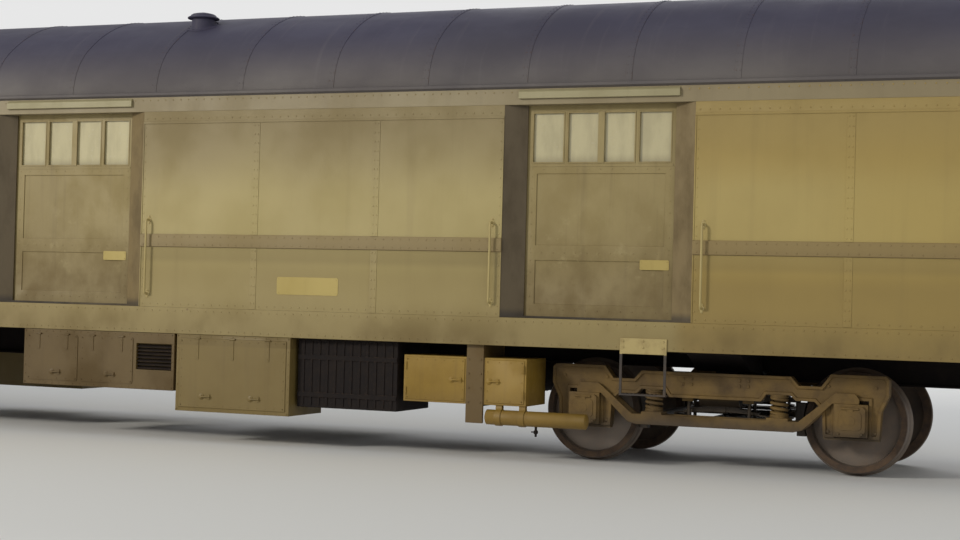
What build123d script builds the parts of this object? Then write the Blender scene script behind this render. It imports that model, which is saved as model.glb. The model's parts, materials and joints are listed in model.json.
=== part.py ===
from build123d import *
import math
import os

# A steel railroad baggage car: a closed, windowless van of a passenger train, with three recessed
# sliding doors a side, an arched roof, boxes and tanks under the floor and two four-wheel trucks.
# Millimetres. X runs along the car, Y across it with the photographed side at -Y, and Z is up.
# The origin is under the middle of the car, level with the lowest points of the wheel flanges.

# Wheels and axles
flange_depth = 25.4
flange_thickness = 34.0
flange_round = 12.0
tread_radius = 457.2
tread_taper = 5.0
wheel_width = 140.0
rim_thickness = 62.0
wheel_plate = 30.0
plate_flare = 8.0
hub_radius = 128.0
hub_overhang = 22.0
back_to_back = 1356.0
axle_radius = 82.0
axle_waist_radius = 76.0
wheel_seat = 120.0
journal_radius = 68.0
journal_clearance = 0.3
journal_end_gap = 12.0
journal_shoulder = 14.0
axle_z = flange_depth + tread_radius

# Car body
body_half_length = 9400.0
half_width = 1500.0
wall = 100.0
centre_plate_rise = 350.0
sill_rise = 232.0
sill_depth = 260.0
floor_thickness = 60.0
doorway_height = 1950.0
letterboard_depth = 150.0
roof_rise = 1000.0
haunch_radius = 700.0
roof_thickness = 70.0
roof_overhang = 30.0
belt_rise = 862.0
belt_depth = 122.0
belt_proud = 14.0
seam_drop = 250.0
seam_depth = 22.0
seam_proud = 7.0
gutter_depth = 48.0
gutter_proud = 30.0
gutter_slope = 12.0
gutter_drop = 6.0
fit_gap = 0.3
end_inner_x = body_half_length - wall
wall_inner_y = half_width - wall
centre_plate_z = axle_z + centre_plate_rise
sill_bottom = centre_plate_z + sill_rise
floor_top = sill_bottom + sill_depth
floor_bottom = floor_top - floor_thickness
door_head = floor_top + doorway_height
eave_z = door_head + letterboard_depth
belt_bottom = sill_bottom + belt_rise
seam_z = eave_z - seam_drop

# Roof ventilators. Columns: x, side of the crown
vent_inner_x = 1130.0
vent_setback = 3500.0
vent_outer_x = body_half_length - vent_setback
vent_places = ((vent_inner_x, -1), (-vent_inner_x, 1), (-vent_outer_x, -1), (vent_outer_x, 1))
vent_y = 800.0
vent_radius = 165.0
vent_neck_radius = 120.0
vent_height = 125.0
vent_sink = 90.0

# Side doorways and doors
door_setback = 3720.0
door_pitch = body_half_length - door_setback
doorway_width = 1800.0
clear_width = 1400.0
post_edge = 12.0
threshold_height = 20.0
door_thickness = 50.0
door_clearance = 10.0
door_lap = 60.0
door_head_lap = 25.0
door_rail_height = 12.0
door_rail_inset = 12.0
head_rail_height = 30.0
head_rail_gap = 6.0
door_travel = 1450.0
pane_count = 4
pane_width = 312.0
pane_height = 470.0
pane_thickness = 8.0
pane_drop = 60.0
muntin = 26.0
door_panel_inset = 9.0
door_stile = 90.0
door_rail_low = 120.0
door_rail_middle = 140.0
door_rail_high = 95.0
hood_half_width = 760.0
hood_depth = 85.0
hood_proud = 28.0
hood_slope = 25.0
hood_drop = 12.0

# Trucks
wheelbase = 2440.0
truck_overhang = 2700.0
truck_centre = body_half_length - truck_overhang
journal_y = 1000.0
frame_thickness = 120.0
crown_rise = 425.0
frame_rise = 390.0
dip_rise = 312.0
frame_bottom_rise = 180.0
waist_drop = 20.0
pedestal_drop = 125.0
pedestal_tie = 22.0
jaw_half_width = 150.0
jaw_rise = 25.0
leg_width = 105.0
leg_taper = 12.0
leg_haunch = 70.0
frame_nose = 65.0
nose_chamfer = 30.0
pocket_half_width = 110.0
pocket_rise = 45.0
transom_drop = 75.0
transom_inner_x = 230.0
transom_width = 100.0
transom_depth = 190.0
bolster_half_width = 185.0
bolster_depth = 235.0
bolster_end_rise = 70.0
bolster_end_drop = 60.0
bolster_end_gap = 20.0
centre_plate_radius = 185.0
centre_plate_height = 30.0
plate_gap = 0.5
side_bearing_y = 610.0
side_bearing_half = 60.0
side_bearing_length = 180.0
side_bearing_gap = 6.0
side_bearing_drop = 5.0

# Springs and equalizers
equalizer_bar = 30.0
equalizer_depth = 95.0
equalizer_drop = 250.0
equalizer_run = 760.0
equalizer_gap = 6.0
equalizer_seat = 24.0
equalizer_toe = 70.0
equalizer_belly = 20.0
box_ease = 13.0
coil_radius = 84.0
coil_wire = 17.0
coil_crest = 4.0
coil_x = 575.0
leaf_half_length = 430.0
leaf_height = 165.0
leaf_width = 150.0
leaf_y = 770.0
leaf_step = 12.0
leaf_steps = ((0.30, 1.0), (0.52, 0.80), (0.76, 0.58), (1.0, 0.36))  # share of length, share of height
plank_thickness = 28.0
plank_margin = 50.0
hanger_radius = 16.0
hanger_spread = 110.0

# Journal boxes
journal_box_rise = 172.0
journal_box_drop = 115.0
box_half_width = 147.0
box_y_inner = 885.0
box_y_outer = 1130.0
box_wall = 26.0
box_cover = 30.0
cover_inset = 18.0
cover_chamfer = 22.0
cover_toe = 50.0

# Brake rigging
brake_gap = 10.0
brake_head_depth = 60.0
brake_shoe_reach = 40.0
brake_head_half_height = 150.0
brake_head_inner = 28.0
brake_head_outer = 44.0
brake_beam_radius = 32.0
brake_beam_drop = 40.0
brake_arm = 40.0
brake_arm_depth = 45.0

# Underframe
centre_channel_y = 150.0
centre_channel_flange = 90.0
centre_channel_web = 14.0
belly_drop = 140.0
belly_flat = 3200.0
belly_slope = 1500.0
draft_drop = 110.0
bolster_margin = 60.0
crossbearer_inside = 1000.0
crossbearer_outside = 1600.0
crossbearer_places = (0.0, 1890.0, 3200.0, 4500.0, truck_centre - crossbearer_inside,
                      truck_centre + crossbearer_outside)
crossbearer_depth = 100.0
crossbearer_width = 120.0
body_bolster_half_width = 250.0
body_bolster_plate = 20.0
body_bolster_foot = 330.0
jacking_pad_lift = 15.0
jacking_pad_width = 190.0
pipe_radius = 30.0
pipe_y = 340.0
pipe_hole_clearance = 8.0
pipe_overhang = 95.0
cock_radius = 38.0
cock_rise = 12.0
cock_drop = 130.0
foot_margin = 20.0
foot_depth = 60.0
foot_step = 35.0

# Ends
end_opening_half_width = 382.0
end_door_height = 1960.0
end_door_thickness = 45.0
end_door_gap = 6.0
end_pane_half_width = 210.0
end_pane_height = 560.0
end_pane_drop = 170.0
end_panel_margin = 40.0
end_panel_low = 160.0
end_panel_gap = 180.0
hinge_radius = 9.5
hinge_length = 110.0
hinge_gap = 1.5
hinge_strap = 3.0
hinge_reach = 60.0
hinge_heights = (250.0, 1650.0)
diaphragm_half_width = 530.0
diaphragm_passage = 400.0
diaphragm_liner = 22.0
diaphragm_height = 2250.0
diaphragm_drop = 30.0
diaphragm_arch = 140.0
diaphragm_depth = 270.0
diaphragm_pleats = 6
pleat_fold = 45.0
face_plate_thickness = 16.0
face_plate_lip = 30.0
face_plate_sill = 10.0
coupler_rise = 876.0
coupler_reach = 380.0
coupler_shank = 130.0
coupler_inset = 25.0
head_length = 240.0
yoke_length = 550.0
yoke_height = 180.0
yoke_end = 250.0
knuckle_height = 280.0
coupler_z = flange_depth + coupler_rise

# Boxes under the floor, hung in a line from one end inwards. Columns: gap outwards, length, inner y, inset
# of the outer face from the car's side, drop of the top and of the bottom below the side sill
near_box_line = (
    (1670.0, 1230.0, 900.0, 75.0, 118.0, 553.0),
    (80.0, 1060.0, 640.0, 104.0, sill_bottom - floor_bottom + crossbearer_depth, 665.0),
    (40.0, 1270.0, 800.0, 10.0, 0.0, 760.0),
    (30.0, 1800.0, 820.0, 12.0, 0.0, 570.0),
)
far_box_line = (
    (200.0, 1700.0, 760.0, 60.0, 0.0, 620.0),
    (720.0, 1800.0, 820.0, 12.0, 0.0, 570.0),
    (30.0, 1270.0, 800.0, 10.0, 0.0, 760.0),
)
far_tank_truck_gap = 2100.0
far_tank_length = 1500.0
far_tank_x1 = truck_centre - far_tank_truck_gap
far_tank_x0 = far_tank_x1 - far_tank_length


def hung_in_line(line, outer_x):
    """The line's boxes by place: inner x, outer x, inner y, outer y, drop of the top and of the bottom."""
    places = []
    for gap, length, inner_y, inset, *drops in line:
        outer_x -= gap
        places.append((outer_x - length, outer_x, inner_y, half_width - inset, *drops))
        outer_x -= length
    return places


locker_size, black_case_size, deep_box_size, battery_box_size = hung_in_line(near_box_line, truck_centre)
far_box_sizes = hung_in_line(far_box_line, far_tank_x0)[::-1]
hatch_size = (410.0, 30.0, 112.0, 372.0)  # width, margin outwards, drop of the top and of the bottom
hatch_depth = 60.0
lip_margin = 40.0
lip_proud = 9.0
locker_post = (640.0, 810.0)  # both edges from the locker's inner end
post_proud = 14.0
post_foot_drop = 725.0
post_foot_thickness = 30.0
locker_door_margin = 20.0
locker_door_proud = 8.0

# Tanks: two in the bay between a truck and the battery box, one between the last far box and a truck.
# Columns: x of both ends, y, drop of the axis below the side sill, radius, places of the two straps as
# shares of the length from the middle
tank_radius = 205.0
tank_inset = 370.0
tank_y = half_width - tank_inset
tank_drop = 330.0
tank_straps = (-0.3, 0.3)
tank_truck_gap = 2015.0
tank_box_gap = 785.0
tank_gap = 120.0
tank_bay = (tank_truck_gap - truck_centre, battery_box_size[0] - tank_box_gap)
tank_length = (tank_bay[1] - tank_bay[0] - tank_gap) / 2
tank_sizes = (
    (tank_bay[0], tank_bay[0] + tank_length, -tank_y, tank_drop, tank_radius, *tank_straps),
    (tank_bay[1] - tank_length, tank_bay[1], -tank_y, tank_drop, tank_radius, *tank_straps),
    (far_tank_x0, far_tank_x1, tank_y, tank_drop, tank_radius, *tank_straps),
)
reservoir_length = 1000.0
reservoir_overrun = 590.0
reservoir_inset = 115.0
side_reservoir_size = (locker_size[1] + reservoir_overrun - reservoir_length,
                       locker_size[1] + reservoir_overrun, reservoir_inset - half_width, 665.0, 70.0,
                       -0.36, -0.13)
dome_share = 0.28
dome_shoulder = 0.72
strap_width = 60.0
strap_thickness = 8.0
strap_depth = 50.0
bearer_width = 80.0
bearer_length = 240.0

# Brake cylinder. Columns of its outline: radius, distance along it
cylinder_place = (-1250.0, 560.0, 150.0)  # x, y, drop below the side sill
cylinder_outline = ((0, -300), (120, -300), (185, -270), (185, 180), (205, 180), (205, 215), (150, 230),
                    (60, 260), (60, 290), (22, 290), (22, 620), (0, 620))
bracket_half_width = 120.0
bracket_half_height = 60.0

# Door steps and grab irons
step_offset = 475.0
step_half_width = 215.0
step_plate_height = 110.0
step_plate_drop = 30.0
step_plate_thickness = 12.0
step_drop = 400.0
step_bar = 24.0
step_tread = 16.0
step_tread_depth = 60.0
grab_radius = 11.0
grab_standoff = 55.0
grab_rise = 120.0
grab_height = 760.0
grab_door_offset = 95.0
grab_corner_offset = 60.0
end_grab_y = 1250.0

wheel_mid_y = back_to_back / 2 + wheel_width / 2
door_centres = {"left": -door_pitch, "middle": 0.0, "right": door_pitch}
door_slide_sign = {"left": 1, "middle": -1, "right": -1}
sides = {"near": -1, "far": 1}
truck_places = {"left": -truck_centre, "right": truck_centre}
parts = {}


def block(x0, x1, y0, y1, z0, z1):
    """A box between two corners."""
    middle = Pos((x0 + x1) / 2, (y0 + y1) / 2, (z0 + z1) / 2)
    return middle * Box(abs(x1 - x0), abs(y1 - y0), abs(z1 - z0))


def plate_xz(points, y0, y1):
    """A polygon of (x, z) points, as thick as y0 to y1."""
    plane = Plane(origin=(0, y0, 0), x_dir=(1, 0, 0), z_dir=(0, -1, 0))
    return extrude(plane * make_face(Polyline(*points, close=True)), y1 - y0, dir=(0, 1, 0))


def plate_yz(points, x0, x1):
    """A polygon of (y, z) points, as thick as x0 to x1."""
    plane = Plane(origin=(x0, 0, 0), x_dir=(0, 1, 0), z_dir=(1, 0, 0))
    return extrude(plane * make_face(Polyline(*points, close=True)), x1 - x0, dir=(1, 0, 0))


def plate_xy(points, z0, z1):
    """A polygon of (x, y) points, as high as z0 to z1."""
    return extrude(Pos(0, 0, z0) * make_face(Polyline(*points, close=True)), z1 - z0, dir=(0, 0, 1))


def rod(start, end, radius):
    """A round bar between two points."""
    start, end = Vector(*start), Vector(*end)
    return Plane(origin=(start + end) * 0.5, z_dir=end - start) * Cylinder(radius, (end - start).length)


def turned_upright(outline):
    """A lathe shape of (radius, z) points round the Z axis."""
    plane = Plane(origin=(0, 0, 0), x_dir=(1, 0, 0), z_dir=(0, -1, 0))
    return revolve(plane * make_face(Polyline(*outline, close=True)), axis=Axis.Z)


def turned_lying(outline):
    """A lathe shape of (radius, distance) points round the X axis."""
    return Rot(0, 0, -90) * revolve(make_face(Polyline(*outline, close=True)), axis=Axis.Y)


def joined(shapes):
    """One solid made of shapes that meet."""
    result = shapes[0]
    for shape in shapes[1:]:
        result = result + shape
    return result


def both_sides(shape):
    """The shape and its mirror image across the car."""
    return [shape, mirror(shape, about=Plane.XZ)]


def both_ends(shape):
    """The shape and its mirror image along the car."""
    return [shape, mirror(shape, about=Plane.YZ)]


def mirrored_outline(half):
    """The points of a half outline and, in return order, their mirror images."""
    return half + [(-first, second) for first, second in reversed(half) if first != 0]


# Wheelset: one outline turned round the axle, given as (y, radius) for the +Y half
def wheelset():
    inner = back_to_back / 2
    outer = inner + wheel_width
    plate_in = wheel_mid_y - flange_round - wheel_plate / 2
    plate_out = plate_in + wheel_plate
    rim_bore = tread_radius - rim_thickness
    flange_tip = tread_radius + flange_depth
    shoulder_y = box_y_inner - journal_shoulder
    journal_end = box_y_outer - box_wall - journal_end_gap
    half = [
        (0, axle_waist_radius),
        (inner - wheel_seat, axle_radius),
        (inner - hub_overhang, axle_radius),
        (inner - hub_overhang, hub_radius),
        (plate_in, hub_radius + plate_flare),
        (plate_in - plate_flare, rim_bore - plate_flare),
        (inner, rim_bore),
        (inner, flange_tip - flange_round),
        (inner + flange_round, flange_tip),
        (inner + flange_thickness - flange_round, flange_tip - tread_taper),
        (inner + flange_thickness, tread_radius + tread_taper),
        (outer - flange_round, tread_radius - tread_taper),
        (outer, tread_radius - flange_round),
        (outer, rim_bore),
        (plate_out, rim_bore - plate_flare),
        (plate_out + plate_flare, hub_radius + plate_flare),
        (outer + hub_overhang, hub_radius),
        (outer + hub_overhang, axle_radius),
        (shoulder_y, axle_radius),
        (shoulder_y, journal_radius),
        (journal_end, journal_radius),
        (journal_end, 0),
    ]
    outline = [(radius, y) for y, radius in half]
    outline += [(radius, -y) for y, radius in reversed(half[1:])]
    return Pos(0, 0, axle_z) * revolve(make_face(Polyline(*outline, close=True)), axis=Axis.Y)


# Heights and places that the trucks' pieces share
frame_top = axle_z + frame_rise
frame_bottom = axle_z + frame_bottom_rise
pedestal_bottom = axle_z - pedestal_drop
frame_inner_y = journal_y - frame_thickness / 2
frame_outer_y = journal_y + frame_thickness / 2
transom_top = frame_top - transom_drop
transom_bottom = transom_top - transom_depth
transom_outer_x = transom_inner_x + transom_width
bolster_top = centre_plate_z - centre_plate_height
bolster_bottom = bolster_top - bolster_depth
leaf_bottom = bolster_bottom - leaf_height
box_top = axle_z + journal_box_rise
equalizer_low = box_top - equalizer_drop
coil_bottom = equalizer_low + equalizer_depth - equalizer_belly + equalizer_seat
coil_top = frame_bottom + pocket_rise


# Truck frame: two side frames with pedestal jaws, joined by transoms, and the hung spring plank
def side_frame():
    """A cast side: high over the journal boxes, dipped beside them, with pockets over the coils."""
    axle_x = wheelbase / 2
    leg_outer = axle_x + jaw_half_width + leg_width
    leg_inner = axle_x - jaw_half_width - leg_width
    nose_x = leg_outer + frame_nose
    jaw_top = frame_bottom + jaw_rise
    pocket_in, pocket_out = coil_x - pocket_half_width, coil_x + pocket_half_width
    half = [
        (0, frame_bottom - waist_drop),
        (pocket_in - pocket_rise, frame_bottom - waist_drop),
        (pocket_in, coil_top),
        (pocket_out, coil_top),
        (pocket_out + pocket_rise, frame_bottom),
        (leg_inner - leg_haunch, frame_bottom),
        (leg_inner, frame_bottom - leg_haunch),
        (leg_inner + leg_taper, pedestal_bottom),
        (axle_x - jaw_half_width, pedestal_bottom),
        (axle_x - jaw_half_width, jaw_top),
        (axle_x + jaw_half_width, jaw_top),
        (axle_x + jaw_half_width, pedestal_bottom),
        (leg_outer - leg_taper, pedestal_bottom),
        (leg_outer, frame_bottom - leg_haunch),
        (nose_x, frame_bottom + leg_haunch),
        (nose_x, axle_z + crown_rise - nose_chamfer),
        (nose_x - nose_chamfer, axle_z + crown_rise),
        (leg_inner + leg_haunch, axle_z + crown_rise),
        (leg_inner - leg_taper, axle_z + dip_rise),
        (pocket_out + leg_haunch, axle_z + dip_rise),
        (pocket_out, frame_top),
        (0, frame_top),
    ]
    return plate_xz(mirrored_outline(half), frame_inner_y, frame_outer_y)


def truck_frame():
    plank_z = leaf_bottom - plank_thickness
    pieces = both_sides(side_frame())
    for sign in (-1, 1):
        x0, x1 = sign * transom_inner_x, sign * transom_outer_x
        pieces.append(block(x0, x1, -frame_inner_y, frame_inner_y, transom_bottom, transom_top))
        for middle_y in (-leaf_y, leaf_y):
            for y in (middle_y - hanger_spread, middle_y + hanger_spread):
                x = (x0 + x1) / 2
                pieces.append(rod((x, y, plank_z), (x, y, transom_bottom), hanger_radius))
    plank_y = leaf_y + leaf_width / 2 + plank_margin
    pieces.append(block(-transom_outer_x, transom_outer_x, -plank_y, plank_y, plank_z, leaf_bottom))
    for axle_x in (-wheelbase / 2, wheelbase / 2):
        reach = jaw_half_width + leg_width - leg_taper
        tie = block(axle_x - reach, axle_x + reach, frame_inner_y + pedestal_tie,
                    frame_outer_y - pedestal_tie, pedestal_bottom - pedestal_tie, pedestal_bottom)
        pieces += both_sides(tie)
    return joined(pieces)


# Truck bolster with its centre plate and side bearings
def truck_bolster():
    end_y = frame_inner_y - bolster_end_gap
    bearing_edge = side_bearing_y + 2 * side_bearing_half
    half = [
        (leaf_y + leaf_width / 2 + leaf_step, bolster_bottom),
        (end_y, bolster_bottom + bolster_end_rise),
        (end_y, bolster_top - bolster_end_drop),
        (bearing_edge, bolster_top),
    ]
    beam = plate_yz(mirrored_outline(half), -bolster_half_width, bolster_half_width)
    plate_middle = Pos(0, 0, centre_plate_z - centre_plate_height / 2)
    plate = plate_middle * Cylinder(centre_plate_radius, centre_plate_height)
    bearing = block(-side_bearing_length / 2, side_bearing_length / 2, side_bearing_y - side_bearing_half,
                    side_bearing_y + side_bearing_half, bolster_top, centre_plate_z - side_bearing_drop)
    return joined([beam, plate] + both_sides(bearing))


# Equalizers: on each side two dropped bars and the two spring seats that join them
def equalizer_pair():
    axle_x = wheelbase / 2
    crest = box_top + equalizer_depth
    bend_x = equalizer_run + 2 * equalizer_belly
    bottom = [
        (equalizer_run - 2 * equalizer_belly, equalizer_low - equalizer_belly),
        (bend_x, equalizer_low),
        (axle_x - box_half_width - box_ease, box_top),
        (axle_x + equalizer_toe, box_top),
    ]
    top = [
        (axle_x + equalizer_toe, box_top + equalizer_depth / 2),
        (axle_x + equalizer_toe / 2, crest),
        (axle_x - box_half_width + box_ease, crest),
        (equalizer_run, equalizer_low + equalizer_depth - equalizer_belly),
    ]
    outline = mirrored_outline(bottom + top)
    outer_bar = frame_outer_y + equalizer_gap
    inner_bar = frame_inner_y - equalizer_gap - equalizer_bar
    pieces = [plate_xz(outline, y, y + equalizer_bar) for y in (outer_bar, inner_bar)]
    seat_reach = coil_radius + box_ease
    for x in (-coil_x, coil_x):
        pieces.append(block(x - seat_reach, x + seat_reach, inner_bar, outer_bar + equalizer_bar,
                            coil_bottom - equalizer_seat, coil_bottom))
    return joined(pieces)


# Springs: coils as a turned outline of round ridges, and leaf packs as two bowed stacks
def coil_spring():
    height = coil_top - coil_bottom
    turns = round(height / (coil_wire * 2.5))
    pitch = height / turns
    outline = [(0, 0)]
    for turn in range(turns):
        z = turn * pitch
        outline += [
            (coil_radius - coil_wire, z),
            (coil_radius - coil_crest, z + pitch / 4),
            (coil_radius, z + pitch / 2),
            (coil_radius - coil_crest, z + pitch * 3 / 4),
        ]
    outline += [(coil_radius - coil_wire, height), (0, height)]
    return Pos(0, 0, coil_bottom) * turned_upright(outline)


def leaf_pack():
    """A stack of leaves that grows shorter towards its top and bottom, stepped at each leaf group."""
    middle = leaf_bottom + leaf_height / 2
    steps = [(length * leaf_half_length, height * leaf_height / 2) for length, height in leaf_steps]
    corners = [steps[0]]
    for (inner_x, _), (outer_x, z) in zip(steps[:-1], steps[1:]):
        corners += [(inner_x, z), (outer_x, z)]
    upper = [(x, middle + z) for x, z in corners]
    lower = [(x, middle - z) for x, z in reversed(corners)]
    return plate_xz(mirrored_outline(upper + lower), leaf_y - leaf_width / 2, leaf_y + leaf_width / 2)


def truck_springs():
    pieces = [leaf_pack()]
    for x in (-coil_x, coil_x):
        pieces.append(Pos(x, journal_y, 0) * coil_spring())
    return [copy for piece in pieces for copy in both_sides(piece)]


# Journal boxes with their hinged covers, each bored for the axle end
def journal_box(x):
    bottom = axle_z - journal_box_drop
    body = block(x - box_half_width, x + box_half_width, box_y_inner, box_y_outer - box_cover, bottom,
                 box_top)
    cover_half = box_half_width - cover_inset
    cover_top = box_top - cover_inset
    right = [
        (cover_half, cover_top - cover_chamfer), (cover_half, bottom + cover_toe),
        (cover_half - cover_toe, bottom + cover_inset / 3),
    ]
    left = [(-dx, z) for dx, z in reversed(right)]
    top = [(-cover_half + cover_chamfer, cover_top), (cover_half - cover_chamfer, cover_top)]
    cover = plate_xz([(x + dx, z) for dx, z in top + right + left], box_y_outer - box_cover, box_y_outer)
    depth = box_y_outer - box_wall - box_y_inner
    bore = Pos(x, box_y_inner + depth / 2, axle_z) * Rot(90, 0, 0) * Cylinder(
        journal_radius + journal_clearance, depth)
    return body + cover - bore


def journal_boxes():
    boxes = []
    for x in (-wheelbase / 2, wheelbase / 2):
        boxes += both_sides(journal_box(x))
    return boxes


# Brake rigging: a beam and two shoe heads inside each wheelset, hung on arms from the transom
def brake_set():
    axle_x = wheelbase / 2
    face_radius = tread_radius + brake_gap
    shoe_x = axle_x - face_radius
    back_x = shoe_x - brake_head_depth
    beam_x = back_x - brake_arm / 4
    beam_z = axle_z - brake_beam_drop
    head = block(back_x, shoe_x + brake_shoe_reach, wheel_mid_y - brake_head_inner,
                 wheel_mid_y + brake_head_outer, axle_z - brake_head_half_height,
                 axle_z + brake_head_half_height)
    clear = Pos(axle_x, 0, axle_z) * Rot(90, 0, 0) * Cylinder(face_radius, 2 * half_width)
    arm_z = transom_bottom + brake_arm_depth
    y0, y1 = wheel_mid_y - brake_head_inner, wheel_mid_y - brake_head_inner + brake_arm
    arm = block(transom_outer_x, back_x + brake_arm / 2, y0, y1, arm_z - brake_arm_depth / 2,
                arm_z + brake_arm_depth / 2)
    drop = block(back_x - brake_arm / 2, back_x + brake_arm / 2, y0, y1, beam_z,
                 arm_z + brake_arm_depth / 2)
    beam = rod((beam_x, -wheel_mid_y, beam_z), (beam_x, wheel_mid_y, beam_z), brake_beam_radius)
    return joined([beam] + both_sides(head - clear) + both_sides(arm) + both_sides(drop))


truck_pieces = {
    "truck_frame": [truck_frame()],
    "truck_bolster": [truck_bolster()],
    "truck_springs": truck_springs(),
    "equalizers": both_sides(equalizer_pair()),
    "journal_boxes": journal_boxes(),
    "brake_rigging": both_ends(brake_set()),
}
one_wheelset = wheelset()
for end, x in truck_places.items():
    for name, shapes in truck_pieces.items():
        parts[f"{name}_{end}"] = [Pos(x, 0, 0) * shape for shape in shapes]
    for place, sign in (("inner", -1), ("outer", 1)):
        axle_x = x + sign * math.copysign(wheelbase / 2, x)
        parts[f"wheelset_{end}_{place}"] = [Pos(axle_x, 0, 0) * one_wheelset]


# Underframe: heights that its pieces share
upper_plate_top = centre_plate_z + plate_gap + centre_plate_height
bearer_z = floor_bottom - crossbearer_depth
pipe_z = bearer_z - pipe_radius - fit_gap


# Centre sill: two channels back to back, deep in the middle and deep again around the couplers
def centre_channel():
    over_truck = upper_plate_top + body_bolster_plate
    belly = over_truck - belly_drop
    draft_bottom = coupler_z - draft_drop
    bolster_in = truck_centre - body_bolster_half_width - bolster_margin
    bolster_out = truck_centre + body_bolster_half_width + bolster_margin
    bottom = [
        (belly_flat, belly),
        (belly_flat + belly_slope, over_truck),
        (bolster_in, over_truck),
        (bolster_out, over_truck),
        (bolster_out + bolster_margin, draft_bottom),
        (end_inner_x, draft_bottom),
    ]

    def outline(rise, crown):
        return mirrored_outline([(x, z + rise) for x, z in bottom] + [(end_inner_x, crown)])

    web_y = centre_channel_y + centre_channel_web
    flange_y = centre_channel_y + centre_channel_flange
    whole = plate_xz(outline(0, floor_bottom), centre_channel_y, flange_y)
    hollow = plate_xz(outline(centre_channel_web, floor_bottom - centre_channel_web), web_y, flange_y)
    return whole - hollow


# Body bolsters: tapered beams over the trucks with the upper centre plate and the jacking pads
def body_bolster():
    pad_z = sill_bottom - jacking_pad_lift
    half = [
        (wall_inner_y, floor_bottom),
        (wall_inner_y, pad_z),
        (wall_inner_y - jacking_pad_width - bolster_margin, pad_z),
        (side_bearing_y + 2 * side_bearing_half, upper_plate_top + body_bolster_plate),
        (body_bolster_foot, upper_plate_top),
    ]
    beam = plate_yz(mirrored_outline(half), -body_bolster_half_width, body_bolster_half_width)
    sill_edge = centre_channel_y + centre_channel_flange
    beam -= block(-body_bolster_half_width, body_bolster_half_width, -sill_edge, sill_edge,
                  upper_plate_top + body_bolster_plate, floor_bottom)
    plate_middle = Pos(0, 0, upper_plate_top - centre_plate_height / 2)
    plate = plate_middle * Cylinder(centre_plate_radius, centre_plate_height)
    bearing = block(-side_bearing_length / 2, side_bearing_length / 2, side_bearing_y - side_bearing_half,
                    side_bearing_y + side_bearing_half,
                    centre_plate_z - side_bearing_drop + side_bearing_gap,
                    upper_plate_top + body_bolster_plate)
    whole = joined([beam, plate] + both_sides(bearing))
    for y in (-pipe_y, pipe_y):
        whole -= rod((-2 * body_bolster_half_width, y, pipe_z), (2 * body_bolster_half_width, y, pipe_z),
                     pipe_radius + pipe_hole_clearance)
    return whole


def crossbearers():
    arms = []
    sill_edge = centre_channel_y + centre_channel_flange
    for x in crossbearer_places:
        arm = block(x - crossbearer_width / 2, x + crossbearer_width / 2, sill_edge, wall_inner_y,
                    bearer_z, floor_bottom)
        arms += both_sides(arm)
        if x > 0:
            arms += both_sides(mirror(arm, about=Plane.YZ))
    return arms


def tank_bearers():
    """Short beams between the floor and the large tanks' straps."""
    beams = []
    for start, stop, y, drop, radius, *places in tank_sizes:
        for place in places:
            strap_x = (start + stop) / 2 + place * (stop - start)
            beams.append(block(strap_x - bearer_width / 2, strap_x + bearer_width / 2,
                               y - bearer_length / 2, y + bearer_length / 2, bearer_z, floor_bottom))
    return beams


# End sill with the buffer foot under the passage between cars, cleared for the two train pipes
def end_sill():
    beam = block(end_inner_x, body_half_length, -half_width, half_width, sill_bottom, floor_top)
    foot_half = diaphragm_passage + foot_margin
    foot = block(body_half_length, body_half_length + diaphragm_depth - foot_margin, -foot_half, foot_half,
                 floor_top - foot_step - foot_depth, floor_top - foot_step)
    whole = beam + foot
    for y in (-pipe_y, pipe_y):
        whole -= rod((end_inner_x - wall, y, pipe_z), (body_half_length + wall, y, pipe_z),
                     pipe_radius + fit_gap)
    return whole


# Train pipes: the brake pipe and the steam pipe, each ending in its angle cock below the end sill
def train_pipe(y):
    end_x = body_half_length + pipe_overhang
    pieces = [rod((-end_x, y, pipe_z), (end_x, y, pipe_z), pipe_radius)]
    for x in (-end_x, end_x):
        pieces.append(rod((x, y, pipe_z + pipe_radius + cock_rise), (x, y, pipe_z - cock_drop),
                          cock_radius))
    return joined(pieces)


parts["floor"] = [block(-end_inner_x, end_inner_x, -wall_inner_y, wall_inner_y, floor_bottom, floor_top)]
parts["centre_sill"] = both_sides(centre_channel())
parts["body_bolsters"] = [Pos(x, 0, 0) * body_bolster() for x in truck_places.values()]
parts["crossbearers"] = crossbearers() + tank_bearers()
parts["end_sills"] = both_ends(end_sill())
parts["side_sills"] = both_sides(
    block(-end_inner_x, end_inner_x, wall_inner_y, half_width, sill_bottom, floor_top))
parts["train_pipes"] = [train_pipe(-pipe_y), train_pipe(pipe_y)]


# Side walls: panels between the doorways, each with its belt rail and the seam under the letterboard
def panel_spans():
    edges = [-end_inner_x]
    for centre in sorted(door_centres.values()):
        edges += [centre - doorway_width / 2, centre + doorway_width / 2]
    edges.append(end_inner_x)
    return list(zip(edges[0::2], edges[1::2]))


def side_panel(x0, x1, side):
    inner, outer = side * wall_inner_y, side * half_width
    sheet = block(x0, x1, inner, outer, floor_top, door_head)
    belt = block(x0, x1, outer, outer + side * belt_proud, belt_bottom, belt_bottom + belt_depth)
    seam = block(x0, x1, outer, outer + side * seam_proud, seam_z - seam_depth, seam_z)
    return joined([sheet, belt, seam])


# Door frames: posts whose faces slope in from the doorway's edge to the clear opening, and a threshold
def door_post(centre, hand, side):
    edge = centre + hand * doorway_width / 2
    clear = centre + hand * clear_width / 2
    points = [(edge, side * half_width), (edge, side * wall_inner_y), (clear, side * wall_inner_y),
              (clear, side * (wall_inner_y + post_edge))]
    return plate_xy(points, floor_top, door_head)


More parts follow.
